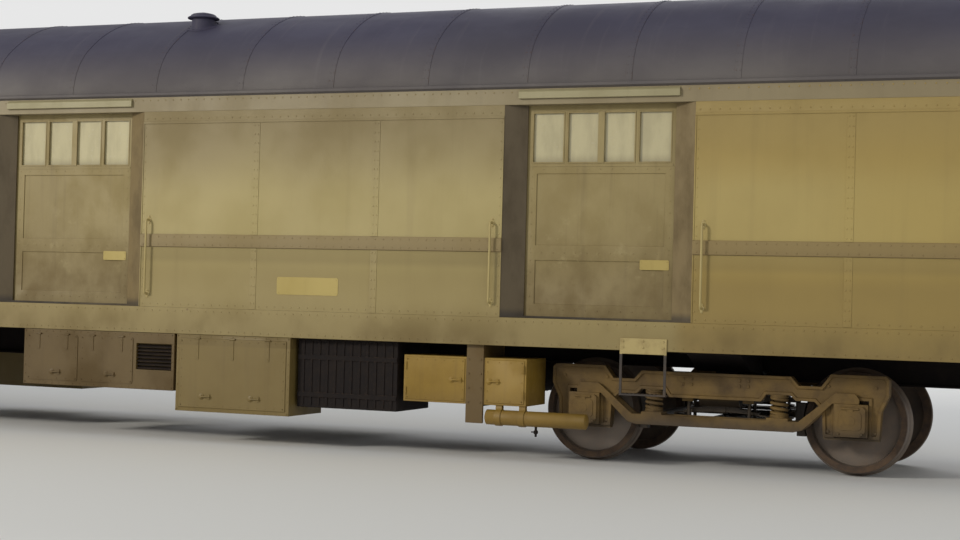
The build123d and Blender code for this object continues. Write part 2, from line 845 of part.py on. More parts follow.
def door_frame(centre, side):
    half = clear_width / 2
    threshold = block(centre - half, centre + half, side * wall_inner_y, side * (wall_inner_y + post_edge),
                      floor_top, floor_top + threshold_height)
    return joined([threshold] + [door_post(centre, hand, side) for hand in (-1, 1)])


for name, side in sides.items():
    parts[f"side_panels_{name}"] = [side_panel(x0, x1, side) for x0, x1 in panel_spans()]
parts["letterboards"] = both_sides(
    block(-end_inner_x, end_inner_x, wall_inner_y, half_width, door_head, eave_z))
parts["door_frames"] = [
    door_frame(centre, side) for side in sides.values() for centre in door_centres.values()]


# Sliding doors: a framed panel with a row of panes, running on a floor rail inside the wall
door_half = clear_width / 2 + door_lap
door_outer_y = wall_inner_y - door_clearance
door_inner_y = door_outer_y - door_thickness
door_bottom = floor_top + door_rail_height + fit_gap
door_top = door_head + door_head_lap
pane_top = door_head - pane_drop
pane_bottom = pane_top - pane_height


def side_door(centre, side):
    slab = block(centre - door_half, centre + door_half, side * door_outer_y, side * door_inner_y,
                 door_bottom, door_top)
    panes = []
    middle_y = side * (door_outer_y + door_inner_y) / 2
    cut_y0, cut_y1 = side * (door_outer_y + door_thickness), side * (door_inner_y - door_thickness)
    for number in range(pane_count):
        pane_x = centre + (number - (pane_count - 1) / 2) * (pane_width + muntin)
        x0, x1 = pane_x - pane_width / 2, pane_x + pane_width / 2
        slab -= block(x0, x1, cut_y0, cut_y1, pane_bottom, pane_top)
        panes.append(block(x0 + fit_gap, x1 - fit_gap, middle_y - pane_thickness / 2,
                           middle_y + pane_thickness / 2, pane_bottom + fit_gap, pane_top - fit_gap))
    panel_half = clear_width / 2 - door_stile
    low_panel = (door_bottom + door_rail_low, belt_bottom - door_rail_middle / 2)
    high_panel = (belt_bottom + door_rail_middle / 2, pane_bottom - door_rail_high)
    for z0, z1 in (low_panel, high_panel):
        slab -= block(centre - panel_half, centre + panel_half, cut_y0,
                      side * (door_outer_y - door_panel_inset), z0, z1)
    return [slab] + panes


def door_rails():
    rails = []
    for side in sides.values():
        for place, centre in door_centres.items():
            shift = door_slide_sign[place] * door_travel
            x0 = min(centre, centre + shift) - door_half
            x1 = max(centre, centre + shift) + door_half
            rails.append(block(x0, x1, side * (door_outer_y - door_rail_inset),
                               side * (door_inner_y + door_rail_inset), floor_top,
                               floor_top + door_rail_height))
            rails.append(block(x0, x1, side * wall_inner_y, side * (door_inner_y - head_rail_gap),
                               door_top + fit_gap, door_top + head_rail_height))
    return rails


for side_name, side in sides.items():
    for place, centre in door_centres.items():
        parts[f"door_{side_name}_{place}"] = side_door(centre, side)
parts["door_rails"] = door_rails()

# Roof: an arch of three arcs, the haunches and the crown, with parallel inner and outer faces
crown_radius = ((half_width - haunch_radius) ** 2 + roof_rise ** 2 - haunch_radius ** 2) / (
    2 * (roof_rise - haunch_radius))


def arch_points(inset):
    """Eave, haunch, tangent and crown points of the arch, moved in by inset, for the +Y half."""
    haunch_y = half_width - haunch_radius
    crown_z = eave_z + roof_rise - crown_radius
    angle = math.atan2(haunch_y, eave_z - crown_z)
    tangent = (crown_radius - inset) * math.sin(angle), crown_z + (crown_radius - inset) * math.cos(angle)
    turn = (math.pi / 2 - angle) / 2
    haunch = (haunch_y + (haunch_radius - inset) * math.cos(turn),
              eave_z + (haunch_radius - inset) * math.sin(turn))
    return (half_width - inset, eave_z), haunch, tangent, (0, eave_z + roof_rise - inset)


def opposite(point):
    """The point's mirror image across the car."""
    return -point[0], point[1]


def arch_line(inset):
    """The arch from the -Y eave over the crown to the +Y eave, as three arcs."""
    eave, haunch, tangent, crown = arch_points(inset)
    return [ThreePointArc(opposite(eave), opposite(haunch), opposite(tangent)),
            ThreePointArc(opposite(tangent), crown, tangent),
            ThreePointArc(tangent, haunch, eave)]


def arch_solid(edges, x0, x1):
    plane = Plane(origin=(x0, 0, 0), x_dir=(0, 1, 0), z_dir=(1, 0, 0))
    return extrude(plane * make_face(Curve() + edges), x1 - x0, dir=(1, 0, 0))


def roof():
    inner_y = half_width - roof_thickness
    feet = [Line((-half_width, eave_z), (-inner_y, eave_z)), Line((inner_y, eave_z), (half_width, eave_z))]
    reach = body_half_length + roof_overhang
    return arch_solid(arch_line(0) + arch_line(roof_thickness) + feet, -reach, reach)


# Roof ventilators: squat round hoods that stand upright on the slope, cut to the roof's skin
def roof_vent(x, side):
    crown_z = eave_z + roof_rise - crown_radius
    skin_z = crown_z + math.sqrt(crown_radius ** 2 - vent_y ** 2)
    rim_z = vent_sink + vent_height / 2
    outline = [
        (0, 0),
        (vent_neck_radius, 0),
        (vent_neck_radius, rim_z),
        (vent_radius, rim_z),
        (vent_radius, rim_z + vent_height / 5),
        (vent_neck_radius, rim_z + vent_height / 2),
        (0, rim_z + vent_height * 0.55),
    ]
    hood = Pos(x, side * vent_y, skin_z - vent_sink) * turned_upright(outline)
    floor_line = [Line((-half_width, eave_z), (half_width, eave_z))]
    return hood - arch_solid(arch_line(0) + floor_line, x - 2 * vent_radius, x + 2 * vent_radius)


# Gutter along each eave, and the rain hood over each doorway
def gutter():
    outer = half_width + gutter_proud
    reach = body_half_length + roof_overhang
    points = [(half_width, eave_z - gutter_drop), (outer, eave_z + gutter_slope),
              (outer, eave_z + gutter_depth - gutter_slope), (half_width + fit_gap, eave_z + gutter_depth)]
    return plate_yz(points, -reach, reach)


def rain_hood(centre, side):
    top = eave_z - hood_drop
    outer = side * (half_width + hood_proud)
    points = [(side * half_width, top), (outer, top - hood_slope), (outer, top - hood_depth),
              (side * half_width, top - hood_depth)]
    return plate_yz(points, centre - hood_half_width, centre + hood_half_width)


parts["roof"] = [roof()]
parts["roof_vents"] = [roof_vent(x, side) for x, side in vent_places]
parts["gutters"] = both_sides(gutter())
parts["rain_hoods"] = [
    rain_hood(centre, side) for side in sides.values() for centre in door_centres.values()]

# Ends: walls with the passage doorway and hinge halves, hinged doors, folded diaphragms, face plates
hinge_x = end_inner_x - hinge_radius - hinge_gap
hinge_y = end_opening_half_width + 2.0
end_door_bottom = floor_top + end_door_gap
end_door_top = floor_top + end_door_height
diaphragm_bottom = floor_top - diaphragm_drop
diaphragm_top = diaphragm_bottom + diaphragm_height
passage_top = diaphragm_top - diaphragm_arch


def hinge_half(z, reach):
    """Half a hinge barrel that starts at z, with a strap that reaches along the wall or the door."""
    top = z + hinge_length / 2
    barrel = rod((hinge_x, hinge_y, z), (hinge_x, hinge_y, top), hinge_radius)
    strap = block(hinge_x - hinge_strap, end_inner_x, hinge_y, hinge_y + reach, z, top)
    return barrel + strap


def end_wall():
    inset = roof_thickness + fit_gap
    eave_y = half_width - inset
    rim = [(-eave_y, eave_z), (-half_width, eave_z), (-half_width, floor_top), (half_width, floor_top),
           (half_width, eave_z), (eave_y, eave_z)]
    edges = arch_line(inset) + [Line(start, end) for start, end in zip(rim[:-1], rim[1:])]
    whole = arch_solid(edges, end_inner_x, body_half_length)
    whole -= block(end_inner_x - wall, body_half_length + wall, -end_opening_half_width,
                   end_opening_half_width, floor_top, end_door_top + end_door_gap)
    for height in hinge_heights:
        whole += hinge_half(floor_top + height, hinge_reach)
    return whole


def end_door():
    leaf_half = end_opening_half_width - end_door_gap
    outer_x = end_inner_x + end_door_thickness
    leaf = block(end_inner_x, outer_x, -leaf_half, leaf_half, end_door_bottom, end_door_top)
    glass_top = end_door_top - end_pane_drop
    glass_bottom = glass_top - end_pane_height
    leaf -= block(end_inner_x - wall, outer_x + wall, -end_pane_half_width, end_pane_half_width,
                  glass_bottom, glass_top)
    panel_half = end_pane_half_width + end_panel_margin
    leaf -= block(outer_x - door_panel_inset, outer_x + wall, -panel_half, panel_half,
                  end_door_bottom + end_panel_low, glass_bottom - end_panel_gap)
    for height in hinge_heights:
        leaf += hinge_half(floor_top + height + hinge_length / 2 + fit_gap, -hinge_reach)
    middle_x = (end_inner_x + outer_x) / 2
    pane_y = end_pane_half_width - fit_gap
    pane = block(middle_x - pane_thickness / 2, middle_x + pane_thickness / 2, -pane_y, pane_y,
                 glass_bottom + fit_gap, glass_top - fit_gap)
    return [leaf, pane]


def diaphragm():
    """Folds of the passage's bellows: wide and narrow hoops in turn round the clear passage."""
    pitch = diaphragm_depth / diaphragm_pleats
    hoops = []
    for fold in range(diaphragm_pleats):
        x = body_half_length + fold * pitch
        for start, inset in ((x, 0.0), (x + pitch / 2, pleat_fold)):
            half = diaphragm_half_width - inset
            hoops.append(block(start, start + pitch / 2, -half, half, diaphragm_bottom,
                               diaphragm_top - inset))
    passage_half = diaphragm_passage + diaphragm_liner
    return joined(hoops) - block(body_half_length - wall, body_half_length + diaphragm_depth + wall,
                                 -passage_half, passage_half, diaphragm_bottom - wall, passage_top)


def face_plate():
    x0 = body_half_length + diaphragm_depth
    x1 = x0 + face_plate_thickness
    half = diaphragm_half_width + face_plate_lip
    plate = block(x0, x1, -half, half, diaphragm_bottom - face_plate_lip, diaphragm_top + face_plate_lip)
    return plate - block(x0 - wall, x1 + wall, -diaphragm_passage, diaphragm_passage,
                         floor_top + face_plate_sill, passage_top - diaphragm_liner)


parts["end_walls"] = both_ends(end_wall())
right_door = end_door()
parts["end_door_right"] = right_door
parts["end_door_left"] = [mirror(shape, about=Plane.YZ) for shape in right_door]
parts["diaphragms"] = both_ends(diaphragm())
parts["face_plates"] = both_ends(face_plate())

# Couplers: shank and yoke between the centre channels, the head in plan, and its swinging knuckle
head_base = body_half_length + coupler_reach - head_length
# Columns of both outlines: distance ahead of the head's base, distance across
head_outline = ((0, -70), (60, -150), (150, -165), (232, -172), (240, -128), (150, -90), (118, -10),
                (128, 60), (190, 96), (168, 150), (70, 150), (0, 70))
knuckle_outline = ((190, 96), (236, 84), (240, 40), (240, -52), (210, -62), (184, -30), (130, 24),
                   (128, 60))


def coupler_head():
    z0 = coupler_z - knuckle_height / 2 + coupler_inset
    z1 = coupler_z + knuckle_height / 2 - coupler_inset
    head = plate_xy([(head_base + ahead, across) for ahead, across in head_outline], z0, z1)
    shank_half = coupler_shank / 2
    yoke_front = body_half_length - yoke_end
    shank = block(yoke_front, head_base + coupler_inset, -shank_half, shank_half, coupler_z - shank_half,
                  coupler_z + shank_half)
    yoke_y = centre_channel_y - fit_gap
    yoke = block(yoke_front - yoke_length, yoke_front, -yoke_y, yoke_y, coupler_z - yoke_height / 2,
                 coupler_z + yoke_height / 2)
    return joined([head, shank, yoke])


def knuckle():
    return plate_xy([(head_base + ahead, across) for ahead, across in knuckle_outline],
                    coupler_z - knuckle_height / 2, coupler_z + knuckle_height / 2)


parts["couplers"] = both_ends(coupler_head())
parts["knuckles"] = both_ends(knuckle())


def hung_box(size, side):
    """A box from its size table, below the side sill on one side of the car."""
    x0, x1, y0, y1, drop_top, drop_bottom = size
    return block(x0, x1, side * y0, side * y1, sill_bottom - drop_bottom, sill_bottom - drop_top)


def battery_box():
    width, margin, drop_top, drop_bottom = hatch_size
    x1, outer_y = battery_box_size[1] - margin, battery_box_size[3]
    hatch = block(x1 - width, x1, -outer_y - hatch_depth, -outer_y + hatch_depth, sill_bottom - drop_bottom,
                  sill_bottom - drop_top)
    return hung_box(battery_box_size, -1) - hatch


def deep_box():
    x0, x1, y0, y1, drop_top, drop_bottom = deep_box_size
    lip = block(x0 + lip_margin, x1 - lip_margin, -y1, -y1 - lip_proud,
                sill_bottom - drop_bottom + lip_margin, sill_bottom - lip_margin)
    return hung_box(deep_box_size, -1) + lip


def locker_box():
    """A locker of two doors and the post between them, which hangs it and reaches down in front."""
    x0, x1, y0, y1, drop_top, drop_bottom = locker_size
    post_x0, post_x1 = (x0 + edge for edge in locker_post)
    bottom = sill_bottom - drop_bottom
    front = -y1 - post_proud
    post = block(post_x0, post_x1, front, -y0, bottom - post_proud, sill_bottom)
    foot = block(post_x0, post_x1, front, front + post_foot_thickness, sill_bottom - post_foot_drop, bottom)
    margin = locker_door_margin
    top = sill_bottom - drop_top
    doors = [block(start, end, -y1, -y1 - locker_door_proud, bottom + margin, top - margin)
             for start, end in ((x0 + margin, post_x0 - margin), (post_x1 + margin, x1 - margin))]
    return joined([hung_box(locker_size, -1), post, foot] + doors)


def tank(size, strap_top):
    """A lying tank with domed ends, and the bands and straps that hang it from strap_top."""
    start, stop, y, drop, radius, *places = size
    x, length = (start + stop) / 2, stop - start
    z = sill_bottom - drop
    dome = radius * dome_share
    half = length / 2
    outline = [(0, -half), (radius * dome_shoulder, -half + dome / 2), (radius, -half + dome),
               (radius, half - dome), (radius * dome_shoulder, half - dome / 2), (0, half)]
    pieces = [Pos(x, y, z) * turned_lying(outline)]
    for place in places:
        strap_x = x + place * length
        pieces.append(block(strap_x - strap_width / 2, strap_x + strap_width / 2, y - strap_depth / 2,
                            y + strap_depth / 2, z, strap_top))
        pieces.append(Pos(strap_x, y, z) * Rot(0, 90, 0) * Cylinder(radius + strap_thickness, strap_width))
    return joined(pieces)


# Brake cylinder on its bracket beside the centre sill, with its push rod
def brake_cylinder():
    x, y, drop = cylinder_place
    z = sill_bottom - drop
    body = Pos(x, y, z) * Rot(0, 0, 180) * turned_lying(cylinder_outline)
    bracket = block(x - bracket_half_width, x + bracket_half_width, centre_channel_y + centre_channel_web,
                    y, z - bracket_half_height, z + bracket_half_height)
    return body + bracket


parts["battery_box"] = [battery_box()]
parts["deep_box"] = [deep_box()]
parts["black_case"] = [hung_box(black_case_size, -1)]
parts["locker_box"] = [locker_box()]
parts["far_side_boxes"] = [hung_box(size, 1) for size in far_box_sizes]
parts["air_tanks"] = [tank(size, bearer_z) for size in tank_sizes]
parts["side_reservoir"] = [tank(side_reservoir_size, sill_bottom - locker_size[5])]
parts["brake_cylinder"] = [brake_cylinder()]


# Door steps: a plate on the side sill and a stirrup that hangs from it, below each outer doorway
def door_step(centre, side):
    x0, x1 = centre + step_offset - step_half_width, centre + step_offset + step_half_width
    inner, outer = side * half_width, side * (half_width + step_plate_thickness)
    plate_bottom = sill_bottom - step_plate_drop
    tread_z = sill_bottom - step_drop
    pieces = [block(x0, x1, inner, outer, plate_bottom, sill_bottom + step_plate_height),
              block(x0, x1, side * (half_width - step_tread_depth), outer, tread_z, tread_z + step_tread)]
    for x in (x0, x1 - step_bar):
        pieces.append(block(x, x + step_bar, inner, outer, tread_z, plate_bottom))
    return joined(pieces)


# Grab irons: an upright round bar with a foot at each end, on a side wall or on an end wall
def grab_iron(wall_point, outward):
    """The wall point is (x, y); outward is the wall's unit normal."""
    x, y = wall_point
    reach = grab_standoff + grab_radius
    z0, z1 = floor_top + grab_rise, floor_top + grab_rise + grab_height
    bar_x, bar_y = x + outward[0] * grab_standoff, y + outward[1] * grab_standoff
    pieces = [rod((bar_x, bar_y, z0), (bar_x, bar_y, z1), grab_radius)]
    for z in (z0 + grab_radius, z1 - grab_radius):
        pieces.append(rod((x, y, z), (x + outward[0] * reach, y + outward[1] * reach, z), grab_radius))
    return joined(pieces)


def grab_irons():
    """Beside every doorway and near every corner on the sides, and two on each end."""
    offset = doorway_width / 2 + grab_door_offset
    corner = end_inner_x - grab_corner_offset
    places = [centre + hand * offset for centre in door_centres.values() for hand in (-1, 1)]
    places += [-corner, corner]
    bars = [grab_iron((x, side * half_width), (0, side)) for side in sides.values() for x in places]
    for y in (-end_grab_y, end_grab_y):
        bars += both_ends(grab_iron((body_half_length, y), (1, 0)))
    return bars


parts["door_steps"] = [
    door_step(door_centres[place], side) for side in sides.values() for place in ("left", "right")]
parts["grab_irons"] = grab_irons()

os.makedirs("parts", exist_ok=True)
for node, shapes in parts.items():
    solids = [solid for shape in shapes for solid in shape.solids()]
    export_step(Compound(solids) if len(solids) > 1 else solids[0], f"parts/{node}.step")
print(len(parts), "nodes")
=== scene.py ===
import json
import math
import bmesh
import bpy
import numpy as np
from mathutils import Matrix, Vector

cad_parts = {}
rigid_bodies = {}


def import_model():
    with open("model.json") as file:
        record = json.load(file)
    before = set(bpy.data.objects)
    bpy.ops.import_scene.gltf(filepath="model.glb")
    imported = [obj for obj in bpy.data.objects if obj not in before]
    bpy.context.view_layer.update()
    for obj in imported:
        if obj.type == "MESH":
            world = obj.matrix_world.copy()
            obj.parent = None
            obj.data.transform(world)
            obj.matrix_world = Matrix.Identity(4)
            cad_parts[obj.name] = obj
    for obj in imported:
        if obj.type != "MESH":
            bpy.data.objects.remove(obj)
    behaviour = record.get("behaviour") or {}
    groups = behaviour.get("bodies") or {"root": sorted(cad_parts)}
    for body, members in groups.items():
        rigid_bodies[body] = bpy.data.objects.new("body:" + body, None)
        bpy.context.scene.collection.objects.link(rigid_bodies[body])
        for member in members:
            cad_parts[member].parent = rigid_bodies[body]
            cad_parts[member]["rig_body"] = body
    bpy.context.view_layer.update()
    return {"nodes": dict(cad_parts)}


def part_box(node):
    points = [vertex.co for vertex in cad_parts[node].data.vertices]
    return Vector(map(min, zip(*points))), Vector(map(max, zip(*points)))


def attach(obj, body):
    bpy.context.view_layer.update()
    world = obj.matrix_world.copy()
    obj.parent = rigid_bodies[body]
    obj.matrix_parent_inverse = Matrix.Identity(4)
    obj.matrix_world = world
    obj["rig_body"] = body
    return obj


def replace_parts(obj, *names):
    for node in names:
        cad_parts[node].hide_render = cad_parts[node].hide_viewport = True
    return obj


# A steel railroad baggage car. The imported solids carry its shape; this script gives them their finish and
# adds what is too fine for them: rivets, seams, coils, leaves, beads, hinges, latches and piping.
# Metres, +X along the car, the photographed side at -Y, +Z up.
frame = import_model()

# Sizes read from the frame
sill_low, sill_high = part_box("side_sills")
letter_low, letter_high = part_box("letterboards")
door_low, door_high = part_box("door_near_right")
passage_low, passage_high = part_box("diaphragms")
bolster_low, bolster_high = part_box("truck_bolster_right")
wheel_low, wheel_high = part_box("wheelset_right_inner")
battery_low, battery_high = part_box("battery_box")
deep_low, deep_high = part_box("deep_box")
case_low, case_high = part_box("black_case")
locker_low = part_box("locker_box")[0]
reservoir_low, reservoir_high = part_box("side_reservoir")
roof_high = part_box("roof")[1]
half_width = sill_high.y
sill_bottom = sill_low.z
floor_top = sill_high.z
door_head = letter_low.z
eave = letter_high.z
crown = roof_high.z
roof_reach = roof_high.x
end_inner = sill_high.x
body_end = round(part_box("end_walls")[1].x, 4)
journal_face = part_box("journal_boxes_right")[1].y
door_pitch = (door_low.x + door_high.x) / 2
door_face = -door_low.y
door_back = -door_high.y
truck_centre = (bolster_low.x + bolster_high.x) / 2
axle_half = truck_centre - (wheel_low.x + wheel_high.x) / 2
axle_z = (wheel_low.z + wheel_high.z) / 2

# Sizes that repeat the solids' own
wall = 0.100
haunch_radius = 0.700
roof_thickness = 0.070
belt_bottom = sill_bottom + 0.862
belt_top = belt_bottom + 0.122
belt_proud = 0.014
seam_z = eave - 0.250
doorway_half = 0.900
clear_half = 0.700
pane_count = 4
pane_width = 0.312
pane_height = 0.470
muntin = 0.026
pane_pitch = pane_width + muntin
pane_top = door_head - 0.060
pane_low = pane_top - pane_height
pane_gap = 0.00015
end_pane_half_width = 0.210
end_pane_half_height = 0.280
end_pane_z = floor_top + 1.510
end_leaf_thickness = 0.045
step_offset = 0.475
step_half = 0.215
step_plate_thickness = 0.012
step_plate_low = sill_bottom - 0.030
tread_top = sill_bottom - 0.384
locker_doors = ((3.820, 4.420), (4.630, 5.010))
locker_door_low = sill_bottom - 0.533
locker_door_high = sill_bottom - 0.138
locker_face = 1.433
lip_margin = 0.040
lip_proud = 0.009
journal_y = 1.000
frame_half = 0.060
coil_x = 0.575
leaf_y = 0.770
spring_z = axle_z + 0.0025
grab_low = floor_top + 0.131
grab_high = floor_top + 0.869
grab_out = 0.055
coupler_z = 0.9014

# The roof's crown is an arc that runs on into the haunches
haunch_y = half_width - haunch_radius
crown_rise = crown - eave
crown_radius = (haunch_y ** 2 + crown_rise ** 2 - haunch_radius ** 2) / (2 * (crown_rise - haunch_radius))
crown_centre = crown - crown_radius

# Finer sizes of the surfaces made here
sheet_inset = 0.010
seam_inset = 0.006
seam_half = 0.030
seam_count = 19
seam_reach = roof_reach - 0.500
rivet_pitch = 0.088
rivet_aside = 0.017
door_rivet_pitch = 0.110
lock_near = 0.390
lock_far = 0.660
batten_half = 0.036
batten_proud = 0.004
edge_strip = 0.011
flange_rim = 0.024
flange_slope = 0.006
flange_depth = 0.016

outwards, inwards, lengthways, upwards = (0, -1, 0), (0, 1, 0), (1.0, 0.0, 0.0), (0, 0, 1)
near, far = -1, 1
hands = (-1, 1)
sides = {"near": near, "far": far}
door_places = {"left": -door_pitch, "middle": 0.0, "right": door_pitch}
door_opens = {"left": 1, "middle": -1, "right": -1}
truck_places = {"left": -truck_centre, "right": truck_centre}
vent_places = ((1.130, -0.800), (-1.130, 0.800), (-5.900, -0.800), (5.900, 0.800))
panel_spans = ((-end_inner, -door_pitch - doorway_half), (-door_pitch + doorway_half, -doorway_half),
               (doorway_half, door_pitch - doorway_half), (door_pitch + doorway_half, end_inner))


def tone(red, green, blue):
    """A colour written as it looks, 0 to 255 a channel, turned into the linear light that shaders take."""
    shown = np.array([red, green, blue]) / 255
    linear = np.where(shown <= 0.04045, shown / 12.92, ((shown + 0.055) / 1.055) ** 2.4)
    return tuple(float(v) for v in linear) + (1.0,)


class Signal:
    """An output socket of a finish; arithmetic on it adds Math nodes."""

    def __init__(self, finish, socket):
        self.finish = finish
        self.socket = socket

    def _math(self, operation, *values, clamp=False):
        return self.finish.node("ShaderNodeMath", {"operation": operation, "use_clamp": clamp}, values)

    def __add__(self, other):
        return self._math("ADD", self, other)

    def __radd__(self, other):
        return self._math("ADD", other, self)

    def __sub__(self, other):
        return self._math("SUBTRACT", self, other)

    def __rsub__(self, other):
        return self._math("SUBTRACT", other, self)

    def __mul__(self, other):
        return self._math("MULTIPLY", self, other)

    def __rmul__(self, other):
        return self._math("MULTIPLY", other, self)

    def __truediv__(self, other):
        return self._math("DIVIDE", self, other)

    def __floordiv__(self, other):
        return self._math("FLOOR", self / other)

    def most(self, other):
        return self._math("MAXIMUM", self, other)

    def size(self):
        return self._math("ABSOLUTE", self)

    def sign(self):
        return self._math("SIGN", self)

    def clamped(self):
        return self._math("ADD", self, 0.0, clamp=True)

    def ramp(self, low, high):
        """0 at low and 1 at high, with a smooth step between them; low may be the larger."""
        return self.finish.node("ShaderNodeMapRange", {"interpolation_type": "SMOOTHSTEP", "clamp": True},
                                {"Value": self, "From Min": low, "From Max": high})

    def within(self, low, high, soft):
        """1 between low and high, falling to 0 over the soft width outside them."""
        return self.ramp(low - soft, low) * self.ramp(high + soft, high)


class Graph:
    """A node tree being put together."""

    def __init__(self, owner):
        owner.use_nodes = True
        self.tree = owner.node_tree
        self.tree.nodes.clear()

    def node(self, kind, settings=None, values=(), out=0):
        """Adds a node of that kind, sets its settings, then feeds its sockets by name or in order."""
        made = self.tree.nodes.new(kind)
        for setting, value in (settings or {}).items():
            setattr(made, setting, value)
        pairs = values.items() if isinstance(values, dict) else enumerate(values)
        for socket, value in pairs:
            if isinstance(value, Signal):
                self.tree.links.new(value.socket, made.inputs[socket])
            else:
                made.inputs[socket].default_value = value
        return Signal(self, made.outputs[out]) if made.outputs else None

    def axes(self, vector):
        """The three numbers of a vector."""
        first = self.node("ShaderNodeSeparateXYZ", {}, [vector])
        return tuple(Signal(self, output) for output in first.socket.node.outputs)


class Finish(Graph):
    """A material with its Principled shader, whose constants are given by their sockets' names."""

    def __init__(self, name, **constants):
        self.material = bpy.data.materials.new(name)
        super().__init__(self.material)
        values = {socket.replace("_", " "): value for socket, value in constants.items()}
        surface = self.node("ShaderNodeBsdfPrincipled", {}, values)
        self.shader = surface.socket.node
        self.node("ShaderNodeOutputMaterial", {}, {"Surface": surface})
        self.here = self.node("ShaderNodeTexCoord", out="Object")
        self.x, self.y, self.z = self.axes(self.here)

    def cloud(self, scale, detail=3.0, roughness=0.55, stretch=None):
        """Noise of about that many lumps a metre, from 0 to 1, its place scaled on each axis if asked."""
        place = self.here
        if stretch:
            place = self.node("ShaderNodeVectorMath", {"operation": "MULTIPLY"}, [self.here, stretch])
        return self.node("ShaderNodeTexNoise", {}, {
            "Vector": place, "Scale": scale, "Detail": detail, "Roughness": roughness})

    def spots(self, scale, small, large):
        """Scattered round spots, 1 within the small distance of their middles and 0 past the large one."""
        distance = self.node("ShaderNodeTexVoronoi", {"feature": "F1"}, {"Vector": self.here, "Scale": scale})
        return 1 - distance.ramp(small, large)

    def chance(self, number):
        """A number from 0 to 1 that jumps with each whole step of the given one."""
        return self.node("ShaderNodeTexWhiteNoise", {"noise_dimensions": "1D"}, {"W": number})

    def edges(self, radius):
        """Near 1 on sharp edges: how far a rounded normal turns from the true one."""
        rounded = self.node("ShaderNodeBevel", {"samples": 4}, {"Radius": radius})
        true = self.node("ShaderNodeNewGeometry", out="Normal")
        turn = self.node("ShaderNodeVectorMath", {"operation": "DOT_PRODUCT"}, [rounded, true], out="Value")
        return (1 - turn).ramp(0.02, 0.22)

    def in_doorway(self):
        """How far a place lies from the middle of its doorway, towards the side's right as one faces it."""
        turns = self.x / door_pitch + 0.5
        return (turns - turns // 1.0 - 0.5) * door_pitch * (self.y.sign() * -1.0)

    def upward(self):
        """1 on faces that look up, 0 on upright ones."""
        return self.axes(self.node("ShaderNodeNewGeometry", out="True Normal"))[2].clamped()

    def layered(self, colour, *coats):
        """The colour under coats laid on in turn, each a share and a tint."""
        for share, tint in coats:
            colour = self.node("ShaderNodeMix", {"data_type": "RGBA", "clamp_factor": True},
                               {0: share, 6: colour, 7: tint}, out=2)
        return colour

    def made(self, colour, roughness, *bumps, **others):
        """The material with its signals fed: a colour, values kept from 0 to 1, and a normal from bumps
        laid one over another, each a height, a distance and a strength."""
        signals = {"Base Color": colour, "Roughness": roughness.clamped()}
        for socket, value in others.items():
            signals[socket.replace("_", " ")] = value.clamped()
        for height, distance, strength in bumps:
            values = {"Height": height, "Distance": distance, "Strength": strength}
            if "Normal" in signals:
                values["Normal"] = signals["Normal"]
            signals["Normal"] = self.node("ShaderNodeBump", {}, values)
        for socket, signal in signals.items():
            self.tree.links.new(signal.socket, self.shader.inputs[socket])
        return self.material


# Finishes
def body_paint(name, base, faded, grime, waves=0.5, dirt_top=1.50):
    """Old enamel on sheet steel: faded in broad patches, streaked by rain, dusty low down, chipped."""
    f = Finish(name, IOR=1.46)
    patches = f.cloud(0.42, 2.0, 0.5, (1.0, 1.0, 0.7)).ramp(0.38, 0.66)
    mottle = f.cloud(1.9, 4.0, 0.55, (1.0, 1.0, 0.8)).ramp(0.36, 0.72)
    streaks = f.cloud(1.0, 4.0, 0.6, (8.0, 8.0, 0.40)).ramp(0.50, 0.82)
    drips = f.cloud(1.0, 3.0, 0.6, (38.0, 38.0, 1.2)).ramp(0.60, 0.88)
    speckle = f.cloud(70.0, 3.0, 0.65)
    splash = (f.z.ramp(dirt_top, sill_bottom - 0.10) * (0.30 + 0.70 * mottle)).clamped()
    chips = f.spots(3.1, 0.012, 0.055) * f.cloud(1.3).ramp(0.56, 0.64)
    worn = (f.edges(0.005) * f.cloud(24.0, 4.0).ramp(0.48, 0.64)).most(chips)
    sheet = f.cloud(0.9, 1.0, 0.4, (1.0, 1.0, 0.55))
    colour = f.layered(base, (patches * 0.65, faded), (mottle * 0.16, grime), (streaks * 0.26, grime),
                       (drips * 0.16, grime), (splash * 0.45, grime),
                       (speckle.ramp(0.62, 0.80) * 0.16, grime), (worn * 0.60, tone(96, 64, 42)))
    return f.made(colour, 0.44 + 0.22 * mottle + 0.16 * splash + 0.18 * worn,
                  (sheet, 0.030, waves), (speckle, 0.0005, 0.5), (1 - worn, 0.0007, 0.5))


